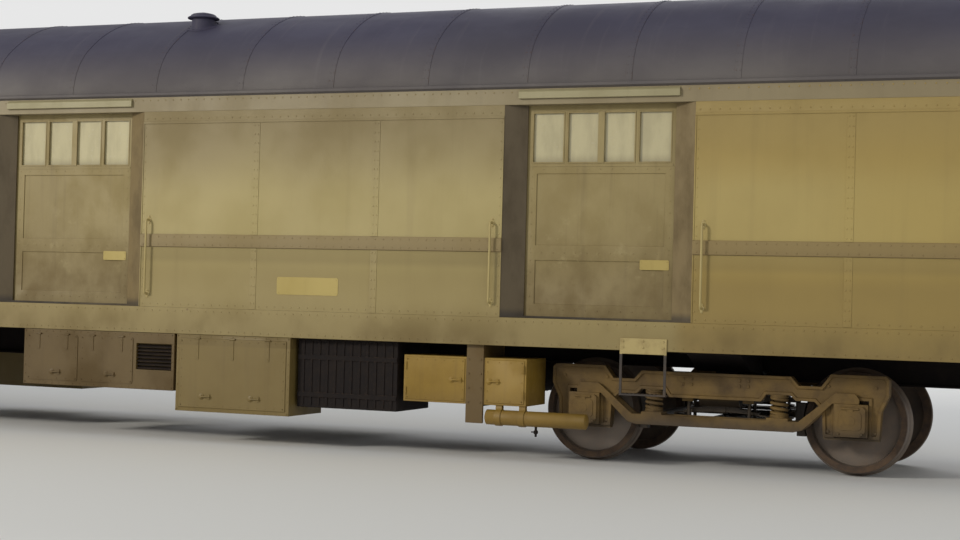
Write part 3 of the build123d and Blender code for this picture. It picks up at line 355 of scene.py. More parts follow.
def side_paint(name, base, faded, grime, shade, belt):
    """The sides' enamel: as the body's, paler above the belt rail with fading and a painted sheen, darker
    towards the letterboard with soot and painted shade under the eave, with a painted shadow under the belt
    rail, darker on the belt rail, warmer on the sheets beyond the end doorway."""
    f = Finish(name, IOR=1.46)
    patches = f.cloud(0.42, 2.0, 0.5, (1.0, 1.0, 0.7)).ramp(0.36, 0.66)
    mottle = f.cloud(1.7, 4.0, 0.55, (1.0, 1.0, 0.8)).ramp(0.36, 0.72)
    streaks = f.cloud(1.0, 4.0, 0.6, (7.0, 7.0, 0.32)).ramp(0.50, 0.82)
    drips = f.cloud(1.0, 3.0, 0.6, (36.0, 36.0, 0.9)).ramp(0.60, 0.88)
    speckle = f.cloud(70.0, 3.0, 0.65)
    outside = f.y.size().ramp(half_width - wall + 0.002, half_width - wall + 0.004)
    # Soot and painted shade under the eave: darker from above the belt rail up to the seam.
    soot = f.z.ramp(belt_top + 0.25, seam_z + 0.02) * (0.86 + 0.14 * mottle)
    # Fading and a painted sheen: paler in a band just above the belt rail.
    bleached_and_sheen = f.z.within(belt_top + 0.02, belt_top + 0.40, 0.40) * (0.65 + 0.35 * patches)
    warm = (f.x * f.y.sign() * -1.0).ramp(door_pitch + clear_half, door_pitch + doorway_half)
    splash = (f.z.ramp(1.50, sill_bottom + 0.02) * (0.35 + 0.65 * mottle)).clamped()
    rail = f.z.within(belt_bottom - 0.002, belt_top + 0.002, 0.006) * outside
    # Painted shadow: a darker band just under the belt rail, in the grime colour.
    belt_rail_shadow = f.z.within(belt_bottom - 0.10, belt_bottom - 0.004, 0.08) * outside
    low = f.z.ramp(belt_bottom + 0.02, floor_top + 0.30) * outside
    chips = f.spots(2.7, 0.010, 0.045) * f.cloud(1.1).ramp(0.56, 0.64)
    worn = (f.edges(0.005) * f.cloud(24.0, 4.0).ramp(0.50, 0.66)).most(chips)
    sheet = f.cloud(0.85, 1.0, 0.4, (1.0, 1.0, 0.50))
    colour = f.layered(base, (patches * 0.55, faded), (warm * 0.80, tone(168, 142, 69)),
                       (bleached_and_sheen * 0.50 * outside, faded), (soot * 0.80 * outside * (1 - 0.45 * warm), shade),
                       (mottle * 0.10, grime), (streaks * (0.15 + 0.06 * soot), grime), (drips * 0.14, grime),
                       (low * (0.34 + 0.20 * warm), tone(124, 105, 62)), (splash * 0.86, tone(107, 90, 53)),
                       (belt_rail_shadow * 0.30, grime), (rail * 0.72, belt),
                       (speckle.ramp(0.62, 0.80) * 0.14, grime), (worn * 0.60, tone(98, 66, 44)))
    return f.made(colour, 0.42 + 0.20 * mottle + 0.14 * splash + 0.12 * soot,
                  (sheet, 0.034, 0.55), (speckle, 0.0005, 0.5), (1 - worn, 0.0007, 0.5))


def door_paint(name):
    """The doors' enamel: browner than the sides in their recess, darker towards the foot, rubbed pale where
    hands and barrows reach, with dust along the rails."""
    f = Finish(name, IOR=1.46)
    patches = f.cloud(0.8, 3.0, 0.5, (1.0, 1.0, 0.6)).ramp(0.38, 0.66)
    mottle = f.cloud(3.2, 5.0, 0.6, (1.0, 1.0, 0.7)).ramp(0.36, 0.72)
    streaks = f.cloud(1.0, 4.0, 0.6, (14.0, 14.0, 0.5)).ramp(0.52, 0.84)
    low = f.z.ramp(floor_top + 1.05, floor_top + 0.10)
    rubbed = f.z.within(floor_top + 0.50, floor_top + 0.85, 0.30) * f.cloud(5.0, 4.0, 0.7).ramp(0.54, 0.72)
    worn = f.edges(0.005) * f.cloud(26.0, 4.0).ramp(0.46, 0.62)
    scuffs = f.spots(5.0, 0.012, 0.045) * f.cloud(1.7).ramp(0.52, 0.62)
    colour = f.layered(tone(138, 122, 78), (patches * 0.7, tone(152, 136, 90)),
                       (low * (0.50 + 0.35 * mottle), tone(104, 87, 52)), (mottle * 0.18, tone(98, 82, 54)),
                       (streaks * 0.34, tone(96, 80, 52)), (rubbed * 0.40, tone(160, 146, 104)),
                       (worn.most(scuffs) * 0.6, tone(92, 66, 44)))
    return f.made(colour, 0.46 + 0.26 * mottle, (f.cloud(2.0, 2.0, 0.55, (1.0, 1.0, 0.6)), 0.010, 0.5),
                  (f.cloud(80.0), 0.0006, 0.5))


def jamb_paint(name):
    """The doorways' recessed posts: darker brown on the left of each doorway as painted shade, paler and
    warmer on its right as painted light, with a black painted shadow along the sill."""
    f = Finish(name, IOR=1.46)
    mottle = f.cloud(5.0, 5.0, 0.62, (1.0, 1.0, 0.5)).ramp(0.36, 0.72)
    # Painted light and shade: each doorway's left post stays dark brown and its right post gets a paler,
    # warmer tone.
    right = f.in_doorway().ramp(-0.02, 0.02)
    # Painted shadow of the threshold gap: black along the foot of the posts at the sill.
    sill_shadow = f.z.ramp(floor_top + 0.10, floor_top + 0.02)
    worn = f.edges(0.006) * f.cloud(26.0, 4.0).ramp(0.44, 0.60)
    colour = f.layered(tone(84, 72, 51), (right, tone(118, 100, 63)), (mottle * 0.40, tone(60, 50, 38)),
                       (sill_shadow * 0.7, tone(36, 31, 28)), (worn * 0.5, tone(132, 114, 78)))
    return f.made(colour, 0.50 + 0.26 * mottle, (f.cloud(60.0, 4.0), 0.0010, 0.6))


def locker_paint(name):
    """The locker's bright ochre, its middle post and the foot of its doors browned by hands and dust."""
    f = Finish(name, IOR=1.46)
    mottle = f.cloud(3.0, 5.0, 0.6).ramp(0.36, 0.70)
    streaks = f.cloud(1.0, 4.0, 0.6, (16.0, 16.0, 0.8)).ramp(0.50, 0.80)
    post_low, post_high = locker_doors[0][1] + 0.016, locker_doors[1][0] - 0.016
    post = f.x.within(post_low, post_high, 0.004) * (1 - f.y.ramp(-0.95, -0.90))
    low = f.z.ramp(sill_bottom - 0.34, sill_bottom - 0.62)
    speckle = f.cloud(46.0, 4.0, 0.7)
    worn = f.edges(0.005) * f.cloud(26.0, 4.0).ramp(0.46, 0.62)
    colour = f.layered(tone(146, 117, 44), (mottle * 0.6, tone(128, 101, 42)),
                       (streaks * 0.26, tone(98, 77, 42)), (low * 0.42, tone(106, 83, 44)),
                       (post * 0.84, tone(84, 66, 37)),
                       (speckle.ramp(0.58, 0.78) * 0.30, tone(92, 72, 44)), (worn * 0.55, tone(88, 62, 42)))
    return f.made(colour, 0.44 + 0.28 * mottle, (f.cloud(2.4, 2.0), 0.012, 0.5), (speckle, 0.0008, 0.6))


def roof_paint(name):
    """Slate roof paint under soot, with painted shading from dark bluish at the crown to paler brown-grey
    near the eave, lime runs down the slope, sheets that aged apart, and a little rust at the seams."""
    f = Finish(name, IOR=1.45)
    blotch = f.cloud(0.9, 5.0, 0.60, (0.7, 1.0, 1.0)).ramp(0.34, 0.70)
    runs = f.cloud(1.0, 4.0, 0.6, (12.0, 0.7, 0.7)).ramp(0.54, 0.84)
    soot = f.cloud(0.40).ramp(0.40, 0.68)
    # Painted shading: dark and bluish towards the crown, paler brown-grey towards the eave.
    slope = f.z.ramp(crown - 0.30, eave - 0.02)
    sheet = f.chance((f.x + seam_reach) // (2 * seam_reach / (seam_count - 1)))
    rust = f.edges(0.008) * f.cloud(16.0, 4.0).ramp(0.50, 0.66)
    patches = f.spots(2.6, 0.015, 0.06) * f.cloud(1.5).ramp(0.56, 0.66)
    colour = f.layered(tone(52, 50, 74), (slope, tone(98, 92, 89)), (sheet * 0.16, tone(62, 61, 70)),
                       (blotch * 0.30, tone(62, 60, 72)), (soot * 0.30, tone(56, 54, 62)),
                       (runs * 0.22, tone(108, 103, 106)), (rust.most(patches) * 0.55, tone(98, 68, 50)))
    return f.made(colour, 0.60 + 0.24 * blotch, (f.cloud(1.1, 2.0), 0.018, 0.5), (f.cloud(80.0), 0.0010, 0.6))


def dusty_black(name, base=tone(23, 19, 20), dust=tone(76, 62, 48), amount=0.22):
    """Underframe black: dull paint with track dust on what looks up and in the corners."""
    f = Finish(name, IOR=1.45, Specular_IOR_Level=0.18)
    grit = f.cloud(9.0, 6.0, 0.68)
    lay = (f.upward() * 0.7 + 0.30 * grit).clamped()
    wear = f.edges(0.004) * f.cloud(30.0).ramp(0.45, 0.60)
    colour = f.layered(base, (grit.ramp(0.36, 0.78) * 0.30, tone(50, 42, 36)), (lay * amount, dust),
                       (wear * 0.50, tone(112, 86, 64)))
    return f.made(colour, 0.62 + 0.24 * grit, (f.cloud(70.0, 4.0, 0.7), 0.0014, 0.7))


def truck_paint(name):
    """Cast steel under ochre dust, nearly black low down and behind the wheels with old oil and painted
    shade.
    """
    f = Finish(name, IOR=1.45)
    grit = f.cloud(11.0, 6.0, 0.66)
    broad = f.cloud(2.2).ramp(0.36, 0.66)
    # Old oil and painted shade: nearly black low down and on the parts inboard of the frames' outer faces.
    inward = f.y.size().ramp(journal_y - frame_half + 0.004, journal_y - frame_half - 0.05)
    oil_and_shade = (f.z.ramp(axle_z + 0.03, axle_z - 0.12) * 0.8).most(inward)
    wear = f.edges(0.005) * f.cloud(34.0).ramp(0.44, 0.60)
    colour = f.layered(tone(114, 90, 46), (broad * 0.7, tone(78, 61, 37)),
                       (grit.ramp(0.42, 0.74) * 0.50, tone(66, 51, 35)), (oil_and_shade * 0.84, tone(38, 33, 31)),
                       (wear * 0.45, tone(152, 128, 84)))
    return f.made(colour, 0.60 + 0.25 * grit - 0.16 * oil_and_shade, (f.cloud(85.0, 5.0, 0.72), 0.0020, 0.8))


def rolled_steel(name, base=tone(92, 82, 76), rust=tone(104, 68, 46), polish=0.30):
    """Steel that rusts in patches and stays bright where it rubs."""
    f = Finish(name)
    patch = f.cloud(6.0, 6.0, 0.65).ramp(0.34, 0.66)
    colour = f.layered(base, (patch * 0.70, rust), (f.edges(0.004) * 0.5, tone(146, 136, 126)))
    return f.made(colour, 0.42 + 0.36 * patch, (f.cloud(60.0), 0.0010, 0.5),
                  Metallic=polish + 0.35 * (1 - patch))


def wheel_steel(name):
    """Wheels: brown with brake dust on the plate, brighter in rings on the tread and flange."""
    f = Finish(name)
    grit = f.cloud(12.0, 6.0, 0.66)
    tread = f.y.size().within(0.682, 0.812, 0.004)
    ring = f.cloud(1.0, 2.0, 0.5, (0.6, 60.0, 0.6)).ramp(0.40, 0.66)
    bright = (tread * (0.35 + 0.4 * ring)).clamped()
    axle = f.y.size().ramp(0.66, 0.62)
    colour = f.layered(tone(62, 50, 42), (grit.ramp(0.30, 0.70), tone(92, 72, 54)),
                       (axle * 0.5, tone(56, 46, 40)), (bright * 0.8, tone(150, 140, 130)))
    return f.made(colour, 0.68 + 0.18 * grit - 0.34 * bright, (f.cloud(80.0, 4.0), 0.0012, 0.7),
                  Metallic=0.20 + 0.55 * bright)


def pleated_rubber(name):
    """Coated canvas folds: dull black, dusty on the outer edge of each fold, cracked along the folds."""
    f = Finish(name, IOR=1.5)
    dust = f.cloud(5.0, 5.0, 0.65)
    crease = f.cloud(1.0, 4.0, 0.7, (8.0, 46.0, 46.0)).ramp(0.56, 0.74)
    colour = f.layered(tone(44, 42, 42), (dust.ramp(0.38, 0.75) * 0.55, tone(86, 80, 72)),
                       (crease * 0.4, tone(26, 25, 26)))
    return f.made(colour, 0.60 + 0.26 * dust, (crease, 0.0008, 0.6), (f.cloud(260.0, 2.0), 0.0004, 0.6))


def floor_boards(name):
    """Boards along the car: each strip has its own tone, with grain along it and dark gaps."""
    f = Finish(name, IOR=1.45)
    board = 0.135
    number = f.y // board
    strip = f.y / board - number
    grain = f.cloud(1.0, 5.0, 0.7, (1.2, 26.0, 26.0))
    gap = 1 - strip.ramp(0.0, 0.03) * strip.ramp(1.0, 0.97)
    colour = f.layered(tone(122, 100, 74), (f.chance(number), tone(94, 78, 60)),
                       (grain.ramp(0.45, 0.75) * 0.6, tone(70, 56, 42)),
                       (f.cloud(1.4, 4.0).ramp(0.52, 0.72) * 0.4, tone(60, 50, 40)),
                       (gap * 0.8, tone(34, 28, 24)))
    return f.made(colour, 0.60 + 0.26 * grain, (grain - gap, 0.0020, 0.7))


def pale_glass(name, light, dull, dark):
    """Panes whitened inside, their pale tone partly a painted reflection of bright sky: a streaked coat
    behind glossy glass, each pane with its own tone.
    """
    f = Finish(name, IOR=1.5, Coat_Roughness=0.05)
    pane = f.chance((f.x + 20.0) // pane_pitch)
    film = f.cloud(3.0, 5.0, 0.6, (2.2, 2.2, 0.6)).ramp(0.38, 0.72)
    dirt = f.cloud(22.0, 4.0).ramp(0.54, 0.82)
    corner = f.z.ramp(pane_low + 0.10, pane_low)
    stain = (dirt * 0.25 + corner * 0.35).clamped()
    colour = f.layered(light, (film * 0.5 + pane * 0.3, dull), (stain, dark))
    return f.made(colour, 0.20 + 0.25 * dirt, Coat_Weight=0.85 - 0.5 * dirt)


def step_paint(name):
    """Pale enamel on the steps' plate, and black worn to steel on the stirrup below it."""
    f = Finish(name, IOR=1.46)
    mottle = f.cloud(8.0, 4.0, 0.6)
    lumps = mottle.ramp(0.40, 0.74)
    plate = f.z.ramp(step_plate_low - 0.006, step_plate_low + 0.002)
    pale = f.layered(tone(176, 158, 106), (lumps * 0.5, tone(128, 108, 70)))
    dark = f.layered(tone(52, 46, 42), (lumps * 0.6, tone(88, 72, 56)))
    worn = f.edges(0.003) * f.cloud(30.0).ramp(0.44, 0.58)
    colour = f.layered(dark, (plate, pale), (worn * 0.6, tone(132, 112, 90)))
    return f.made(colour, 0.46 + 0.30 * mottle, (f.cloud(70.0), 0.0008, 0.5))


tan = side_paint("side_paint", tone(146, 130, 84), tone(174, 159, 106), tone(104, 88, 56),
                 tone(122, 108, 78), tone(122, 103, 68))
end_tan = body_paint("end_paint", tone(142, 127, 84), tone(160, 146, 100), tone(104, 89, 60))
door_tan = door_paint("door_paint")
letter_tan = body_paint("letterboard_paint", tone(134, 121, 92), tone(144, 132, 102), tone(108, 95, 72),
                        waves=0.3)
battery_brown = body_paint("battery_paint", tone(91, 72, 34), tone(101, 81, 40), tone(64, 49, 28),
                           waves=0.4, dirt_top=1.15)
deep_tan = body_paint("deep_box_paint", tone(111, 93, 49), tone(121, 103, 57), tone(78, 62, 35),
                      dirt_top=0.95)
locker_ochre = locker_paint("locker_paint")
trim_yellow = body_paint("trim_paint", tone(166, 148, 96), tone(180, 164, 110), tone(116, 98, 64), waves=0.2)
jamb_brown = jamb_paint("frame_paint")
# Rain hoods: pale paint, lightened as a painted highlight of the moulding catching light.
hood_pale_and_highlight = body_paint("hood_paint", tone(150, 142, 108), tone(162, 154, 120), tone(112, 102, 76), waves=0.1)
plate_pale = body_paint("plate_paint", tone(172, 151, 84), tone(180, 161, 94), tone(126, 106, 60), waves=0.0)
step_black = step_paint("step_paint")
roof_slate = roof_paint("roof_paint")
black = dusty_black("underframe_paint")
dark_iron = dusty_black("dark_iron", tone(52, 45, 40), tone(104, 88, 64), 0.30)
cast = truck_paint("truck_paint")
coupler_cast = rolled_steel("coupler_steel", tone(78, 62, 52), tone(96, 64, 44), 0.15)
bare = rolled_steel("bare_steel")
wheels = wheel_steel("wheel_steel")
rubber = pleated_rubber("diaphragm_rubber")
boards = floor_boards("floor_boards")
# The panes' pale tones: a whitened coat and a painted reflection of bright sky.
glass = pale_glass("pane_glass", tone(192, 182, 142), tone(162, 152, 116), tone(112, 101, 72))


# Mesh makers. A shape is an array of points and a list of arrays of faces
def new_piece(name, shape, finish, body, sharp=35.0):
    """A closed mesh at the origin with its place in its points, its faces turned outwards, on a body."""
    points, faces = shape
    mesh = bpy.data.meshes.new(name)
    mesh.from_pydata(points.tolist(), [], [face for group in faces for face in group.tolist()])
    mesh.validate()
    turner = bmesh.new()
    turner.from_mesh(mesh)
    bmesh.ops.recalc_face_normals(turner, faces=turner.faces)
    turner.to_mesh(mesh)
    turner.free()
    return placed(name, mesh, finish, body, sharp)


def placed(name, mesh, finish, body, sharp=35.0):
    """The mesh as a piece that rides a body: smooth, but for edges sharper than that many degrees."""
    mesh.materials.clear()
    mesh.materials.append(finish)
    mesh.polygons.foreach_set("use_smooth", [True] * len(mesh.polygons))
    mesh.set_sharp_from_angle(angle=math.radians(sharp))
    piece = bpy.data.objects.new(name, mesh)
    bpy.context.scene.collection.objects.link(piece)
    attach(piece, body)
    return piece


def rounded(piece, width, segments=2, angle=40.0):
    """Breaks the piece's edges sharper than the angle with a bevel of that width."""
    bevel = piece.modifiers.new("edge", "BEVEL")
    bevel.width = width
    bevel.segments = segments
    bevel.limit_method = "ANGLE"
    bevel.angle_limit = math.radians(angle)
    bevel.harden_normals = True
    return piece


def merged(name, source, flattened):
    """A solid's mesh as one closed surface, its coplanar triangles joined into flat faces if asked."""
    shape = bmesh.new()
    shape.from_mesh(source.data)
    bmesh.ops.remove_doubles(shape, verts=shape.verts, dist=0.00002)
    if flattened:
        bmesh.ops.dissolve_limit(shape, angle_limit=math.radians(0.5), verts=shape.verts, edges=shape.edges)
    mesh = bpy.data.meshes.new(name)
    shape.to_mesh(mesh)
    shape.free()
    return mesh


def sunk_webs(mesh):
    """A casting's flanges: inside a rim, its wide outermost upright faces slope back to a web."""
    shape = bmesh.new()
    shape.from_mesh(mesh)
    reach = max(abs(point.co.y) for point in shape.verts)
    webs = [face for face in shape.faces if abs(face.normal.y) > 0.999 and face.calc_area() > 0.05
            and reach - abs(face.verts[0].co.y) < 0.001]
    for margin, sink in ((flange_rim, 0.0), (flange_slope, flange_depth)):
        bmesh.ops.inset_individual(shape, faces=webs, thickness=margin, depth=-sink, use_even_offset=True)
    shape.to_mesh(mesh)
    shape.free()


def covered(piece):
    """Whether the triangles that the finished piece is drawn with have the area of its faces in all."""
    finished = piece.evaluated_get(bpy.context.evaluated_depsgraph_get())
    mesh = finished.to_mesh()
    mesh.calc_loop_triangles()
    drawn, faces = np.empty(len(mesh.loop_triangles)), np.empty(len(mesh.polygons))
    mesh.loop_triangles.foreach_get("area", drawn)
    mesh.polygons.foreach_get("area", faces)
    finished.to_mesh_clear()
    return abs(drawn.sum() - faces.sum()) < 1e-4 * faces.sum()


def dressed(node, finish, width, flanged=False):
    """A merged copy of a solid with rounded edges, and flanges if asked, standing for it. The triangles
    stay as they are where flat faces would not be drawn whole."""
    source = frame["nodes"][node]
    for flattened in (True, False):
        mesh = merged(node + "_dressed", source, flattened)
        if flanged and flattened:
            sunk_webs(mesh)
        piece = placed(node + "_dressed", mesh, finish, source["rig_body"])
        if width:
            rounded(piece, width)
        if not flattened or covered(piece):
            break
        bpy.data.objects.remove(piece)
    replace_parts(piece, node)
    return piece


def middles(piece):
    """The x, y and z of the middle of each face."""
    values = np.empty(len(piece.data.polygons) * 3)
    piece.data.polygons.foreach_get("center", values)
    return values.reshape(-1, 3).T


def glazed(piece, across_leaf, chosen):
    """Gives the pane's glass to the chosen faces that lie near the leaf's middle plane."""
    chosen = chosen & (np.abs(across_leaf) < 0.0045)
    piece.data.materials.append(glass)
    piece.data.polygons.foreach_set("material_index", chosen.astype(np.int32))
    piece.data.update()


def gathered(*shapes):
    """Several shapes as one: their points in turn, each shape's faces counted on from the ones before."""
    starts = np.cumsum([0] + [len(points) for points, _ in shapes[:-1]])
    return (np.vstack([points for points, _ in shapes]),
            [group + start for (_, faces), start in zip(shapes, starts) for group in faces])


def mirrored(shape, x=1, y=1):
    """The shape with x or y negated."""
    points, faces = shape
    return points * (x, y, 1), faces


def both_sides(shape):
    return gathered(shape, mirrored(shape, y=-1))


def both_ends(shape):
    return gathered(shape, mirrored(shape, x=-1))


def skinned(rings):
    """A closed shell over a grid of rings: quads between neighbours, wrapping round each ring, with the
    first and last ring as lids."""
    rows, columns = rings.shape[:2]
    row = np.arange(rows - 1)[:, None] * columns
    column = np.arange(columns)[None, :]
    aside = (column + 1) % columns
    quads = np.stack([row + column, row + aside, row + columns + aside, row + columns + column], axis=-1)
    lids = np.stack([np.arange(columns)[::-1], np.arange(columns) + (rows - 1) * columns])
    return rings.reshape(-1, 3), [quads.reshape(-1, 4), lids]


def along(path, profile, up=(0.36, 0.48, 0.80)):
    """Rings of a profile carried along a path: each is the path's point plus the profile's two
    coordinates times the frame's side and lift, which are both square to the path's direction."""
    path, profile = np.asarray(path, float), np.asarray(profile, float)
    ahead = np.vstack([path[1:], path[-1:]]) - np.vstack([path[:1], path[:-1]])
    ahead /= np.linalg.norm(ahead, axis=1, keepdims=True)
    side = np.cross(ahead, np.asarray(up, float))
    side /= np.linalg.norm(side, axis=1, keepdims=True)
    lift = np.cross(side, ahead)
    return path[:, None] + profile[None, :, :1] * side[:, None] + profile[None, :, 1:] * lift[:, None]


def bar(path, radius, count=10):
    """A round bar: a circle, the radius times the cosine and sine of even steps, carried along a path."""
    angle = np.linspace(0, 2 * np.pi, count, endpoint=False)
    return skinned(along(path, radius * np.stack([np.cos(angle), np.sin(angle)], axis=-1)))


def bent(corners, radius, steps=6):
    """A path through corners whose turns are curves: a turn is (1-s)^2 start + 2s(1-s) corner + s^2 stop,
    where start and stop lie the radius before and after the corner."""
    corners = np.asarray(corners, float)
    share = np.linspace(0, 1, steps)[:, None]
    points = [corners[:1]]
    for before, corner, after in zip(corners[:-2], corners[1:-1], corners[2:]):
        into, out = before - corner, after - corner
        start = corner + into / np.linalg.norm(into) * radius
        stop = corner + out / np.linalg.norm(out) * radius
        points.append((1 - share) ** 2 * start + 2 * share * (1 - share) * corner + share ** 2 * stop)
    return np.vstack(points + [corners[-1:]])


def turned(profile, centres, axes, count=16):
    """Copies of a lathe shape: a point is the centre plus distance along its axis plus radius times a
    direction that turns about the axis, for each (radius, distance) of the profile."""
    profile = np.asarray(profile, float)
    centres = np.asarray(centres, float).reshape(-1, 3)
    axes = np.broadcast_to(np.asarray(axes, float), centres.shape)
    axes = axes / np.linalg.norm(axes, axis=1, keepdims=True)
    aside = np.cross(axes, np.where(np.abs(axes[:, 2:]) < 0.9, (0.0, 0.0, 1.0), (1.0, 0.0, 0.0)))
    aside /= np.linalg.norm(aside, axis=1, keepdims=True)
    other = np.cross(axes, aside)
    turn = np.linspace(0, 2 * np.pi, count, endpoint=False)[None, :, None]
    spin = np.cos(turn) * aside[:, None] + np.sin(turn) * other[:, None]
    rings = (centres[:, None, None] + profile[None, :, None, 1:] * axes[:, None, None]
             + profile[None, :, None, :1] * spin[:, None])
    _, (quads, lids) = skinned(rings[0])
    starts = (np.arange(len(centres)) * len(profile) * count)[:, None, None]
    return rings.reshape(-1, 3), [(quads + starts).reshape(-1, 4), (lids + starts).reshape(-1, count)]


def rivets(places, axes, radius=0.0085, height=0.0040):
    """Low domes: rings of radius times cosine, lifted by height times sine."""
    lift = np.radians([0, 42, 74])
    return turned(np.stack([radius * np.cos(lift), height * np.sin(lift)], axis=-1), places, axes, 6)


def bolts(places, axes, radius=0.014, height=0.010):
    """Six-sided heads with a chamfered top."""
    return turned([(radius, -0.002), (radius, height * 0.7), (radius * 0.8, height)], places, axes, 6)


def row_of(start, stop, pitch=rivet_pitch):
    """Even places from start to stop, about the pitch apart."""
    start, stop = np.asarray(start, float), np.asarray(stop, float)
    count = max(2, int(round(np.linalg.norm(stop - start) / pitch)) + 1)
    return start + np.linspace(0, 1, count)[:, None] * (stop - start)


def level_row(x0, x1, y, z, pitch=rivet_pitch):
    return row_of((x0, y, z), (x1, y, z), pitch)


def upright_row(x, y, z0, z1, pitch=rivet_pitch):
    return row_of((x, y, z0), (x, y, z1), pitch)


def slab(outline, low, high, axis=1):
    """A flat outline given a thickness: the same points at two depths along the axis."""
    outline = np.asarray(outline, float)
    rings = np.empty((2, len(outline), 3))
    rings[:, :, [number for number in range(3) if number != axis]] = outline
    rings[0, :, axis], rings[1, :, axis] = low, high
    return skinned(rings)


def soft_corners(low, high, radius, steps=4):
    """A rectangle's outline with round corners: quarter circles about points set in by the radius."""
    outward = np.array([[1, 1], [-1, 1], [-1, -1], [1, -1]])
    middle, half = np.add(low, high) / 2, np.abs(np.subtract(high, low)) / 2
    angle = np.linspace(0, np.pi / 2, steps) + np.arange(4)[:, None] * np.pi / 2
    arc = radius * np.stack([np.cos(angle), np.sin(angle)], axis=-1)
    return (middle + outward[:, None] * (half - radius) + arc).reshape(-1, 2)


def brick(x0, x1, y0, y1, z0, z1):
    """A small flat bar between two corners."""
    return slab([(x0, z0), (x1, z0), (x1, z1), (x0, z1)], y0, y1)


# What stands on an upright face at y = -face: it is proud of the face, and its root is sunk in it
def strip_on(face, x0, x1, z0, z1, proud, sunk=0.001):
    """A flat bar with square corners."""
    return brick(x0, x1, -face - proud, -face + sunk, z0, z1)


def plate_on(face, x0, x1, z0, z1, radius, proud, sunk=0.001, steps=4):
    """A plate with round corners."""
    return slab(soft_corners((x0, z0), (x1, z1), radius, steps), -face - proud, -face + sunk)


def pinned_plate(face, x0, x1, z0, z1, radius, proud, margin, seat):
    """A plate with a rivet near each corner, seated that far out from the face."""
    pins = [(x, -face - seat, z) for x in (x0 + margin, x1 - margin) for z in (z0 + margin, z1 - margin)]
    return gathered(plate_on(face, x0, x1, z0, z1, radius, proud), rivets(pins, outwards, 0.006, 0.003))


def rivet_frame(x0, x1, z0, z1, face, margin=0.022, pitch=0.085):
    """Rivets round the edge of an upright rectangle."""
    x0, x1, z0, z1 = x0 + margin, x1 - margin, z0 + margin, z1 - margin
    corners = [(x0, -face, z0), (x1, -face, z0), (x1, -face, z1), (x0, -face, z1), (x0, -face, z0)]
    rows = [row_of(start, stop, pitch) for start, stop in zip(corners[:-1], corners[1:])]
    return rivets(np.vstack(rows), outwards, 0.0075, 0.0038)


def arch(inset=0.0, steps=10):
    """The roof's arch across the car as (y, z): an arc of the haunch radius about each haunch's centre and
    the crown's arc between them, tangent to both, all with their radii less the inset."""
    lean = math.atan2(haunch_y, eave - crown_centre)
    crown_turn = np.linspace(lean, -lean, 4 * steps)
    haunch_turn = np.linspace(0, np.pi / 2 - lean, steps, endpoint=False)
    haunch = haunch_radius - inset
    right = np.stack([haunch_y + haunch * np.cos(haunch_turn), eave + haunch * np.sin(haunch_turn)], axis=-1)
    top = np.stack([(crown_radius - inset) * np.sin(crown_turn),
                    crown_centre + (crown_radius - inset) * np.cos(crown_turn)], axis=-1)
    return np.vstack([right, top, right[::-1] * (-1, 1)])


def spaced(line, pitch):
    """Even places along a line of (y, z) points and its outward directions there: lengths are summed,
    the coordinates read off at even sums, and the direction onward turned by a quarter."""
    step = np.linalg.norm(np.diff(line, axis=0), axis=1)
    sums = np.concatenate([[0], np.cumsum(step)])
    count = int(round(sums[-1] / pitch))
    at = (np.arange(count) + 0.5) / count * sums[-1]
    before, here, after = (np.stack([np.interp(at + shift, sums, line[:, axis]) for axis in (0, 1)], axis=-1)
                           for shift in (-0.01, 0.0, 0.01))
    onward = after - before
    return here, np.stack([onward[:, 1], -onward[:, 0]], axis=-1)


def across(x, flat):
    """(y, z) pairs as points or directions, all with the same x."""
    return np.column_stack([np.full(len(flat), x), flat])


# Solids that need only a finish and softer edges. Columns: node, finish, slot, edge width
dressing = [
    ("side_panels_near", tan, "side_paint", 0.002),
    ("side_panels_far", tan, "side_paint", 0.002),
    ("side_sills", tan, "side_paint", 0.004),
    ("end_walls", end_tan, "side_paint", 0.004),
    ("end_sills", end_tan, "side_paint", 0.004),
    ("letterboards", letter_tan, "letterboard_paint", 0.003),
    ("gutters", roof_slate, "roof_paint", 0.003),
    ("rain_hoods", hood_pale_and_highlight, "trim_paint", 0.004),
    ("door_frames", jamb_brown, "frame_paint", 0.002),
    ("door_rails", bare, "bare_steel", 0.002),
    ("face_plates", dark_iron, "bare_steel", 0.004),
    ("battery_box", battery_brown, "box_paint", 0.006),
    ("deep_box", deep_tan, "box_paint", 0.008),
    ("far_side_boxes", deep_tan, "box_paint", 0.006),
    ("locker_box", locker_ochre, "locker_paint", 0.005),
    ("side_reservoir", locker_ochre, "locker_paint", 0.0),
    ("black_case", black, "underframe_paint", 0.006),
    ("body_bolsters", black, "underframe_paint", 0.004),
    ("brake_cylinder", black, "underframe_paint", 0.0),
    ("centre_sill", black, "underframe_paint", 0.002),
    ("crossbearers", black, "underframe_paint", 0.003),
    ("train_pipes", black, "underframe_paint", 0.0),
    ("air_tanks", black, "underframe_paint", 0.0),
    ("couplers", coupler_cast, "coupler_steel", 0.012),
    ("knuckles", coupler_cast, "coupler_steel", 0.012),
    ("floor", boards, "floor_boards", 0.0),
]
for end in truck_places:
    for kind, width in (("truck_frame", 0.004), ("truck_bolster", 0.008), ("equalizers", 0.005),
                        ("brake_rigging", 0.005), ("journal_boxes", 0.010)):
        dressing.append((f"{kind}_{end}", cast, "truck_paint", width))
    for place in ("inner", "outer"):
        dressing.append((f"wheelset_{end}_{place}", wheels, "wheel_steel", 0.0))
for node, finish, slot_name, width in dressing:
    dressed(node, finish, width, flanged=node.startswith("truck_frame"))


# Sides: rivet rows, battens over the sheets' joints, door edge strips and the blank plate
def batten_places():
    """The joints of the side sheets: thirds of the long spans and the middle of the short ones."""
    places = []
    for x0, x1 in panel_spans:
        count = 3 if x1 - x0 > 3 else 2
        places += [x0 + (x1 - x0) * number / count for number in range(1, count)]
    return places


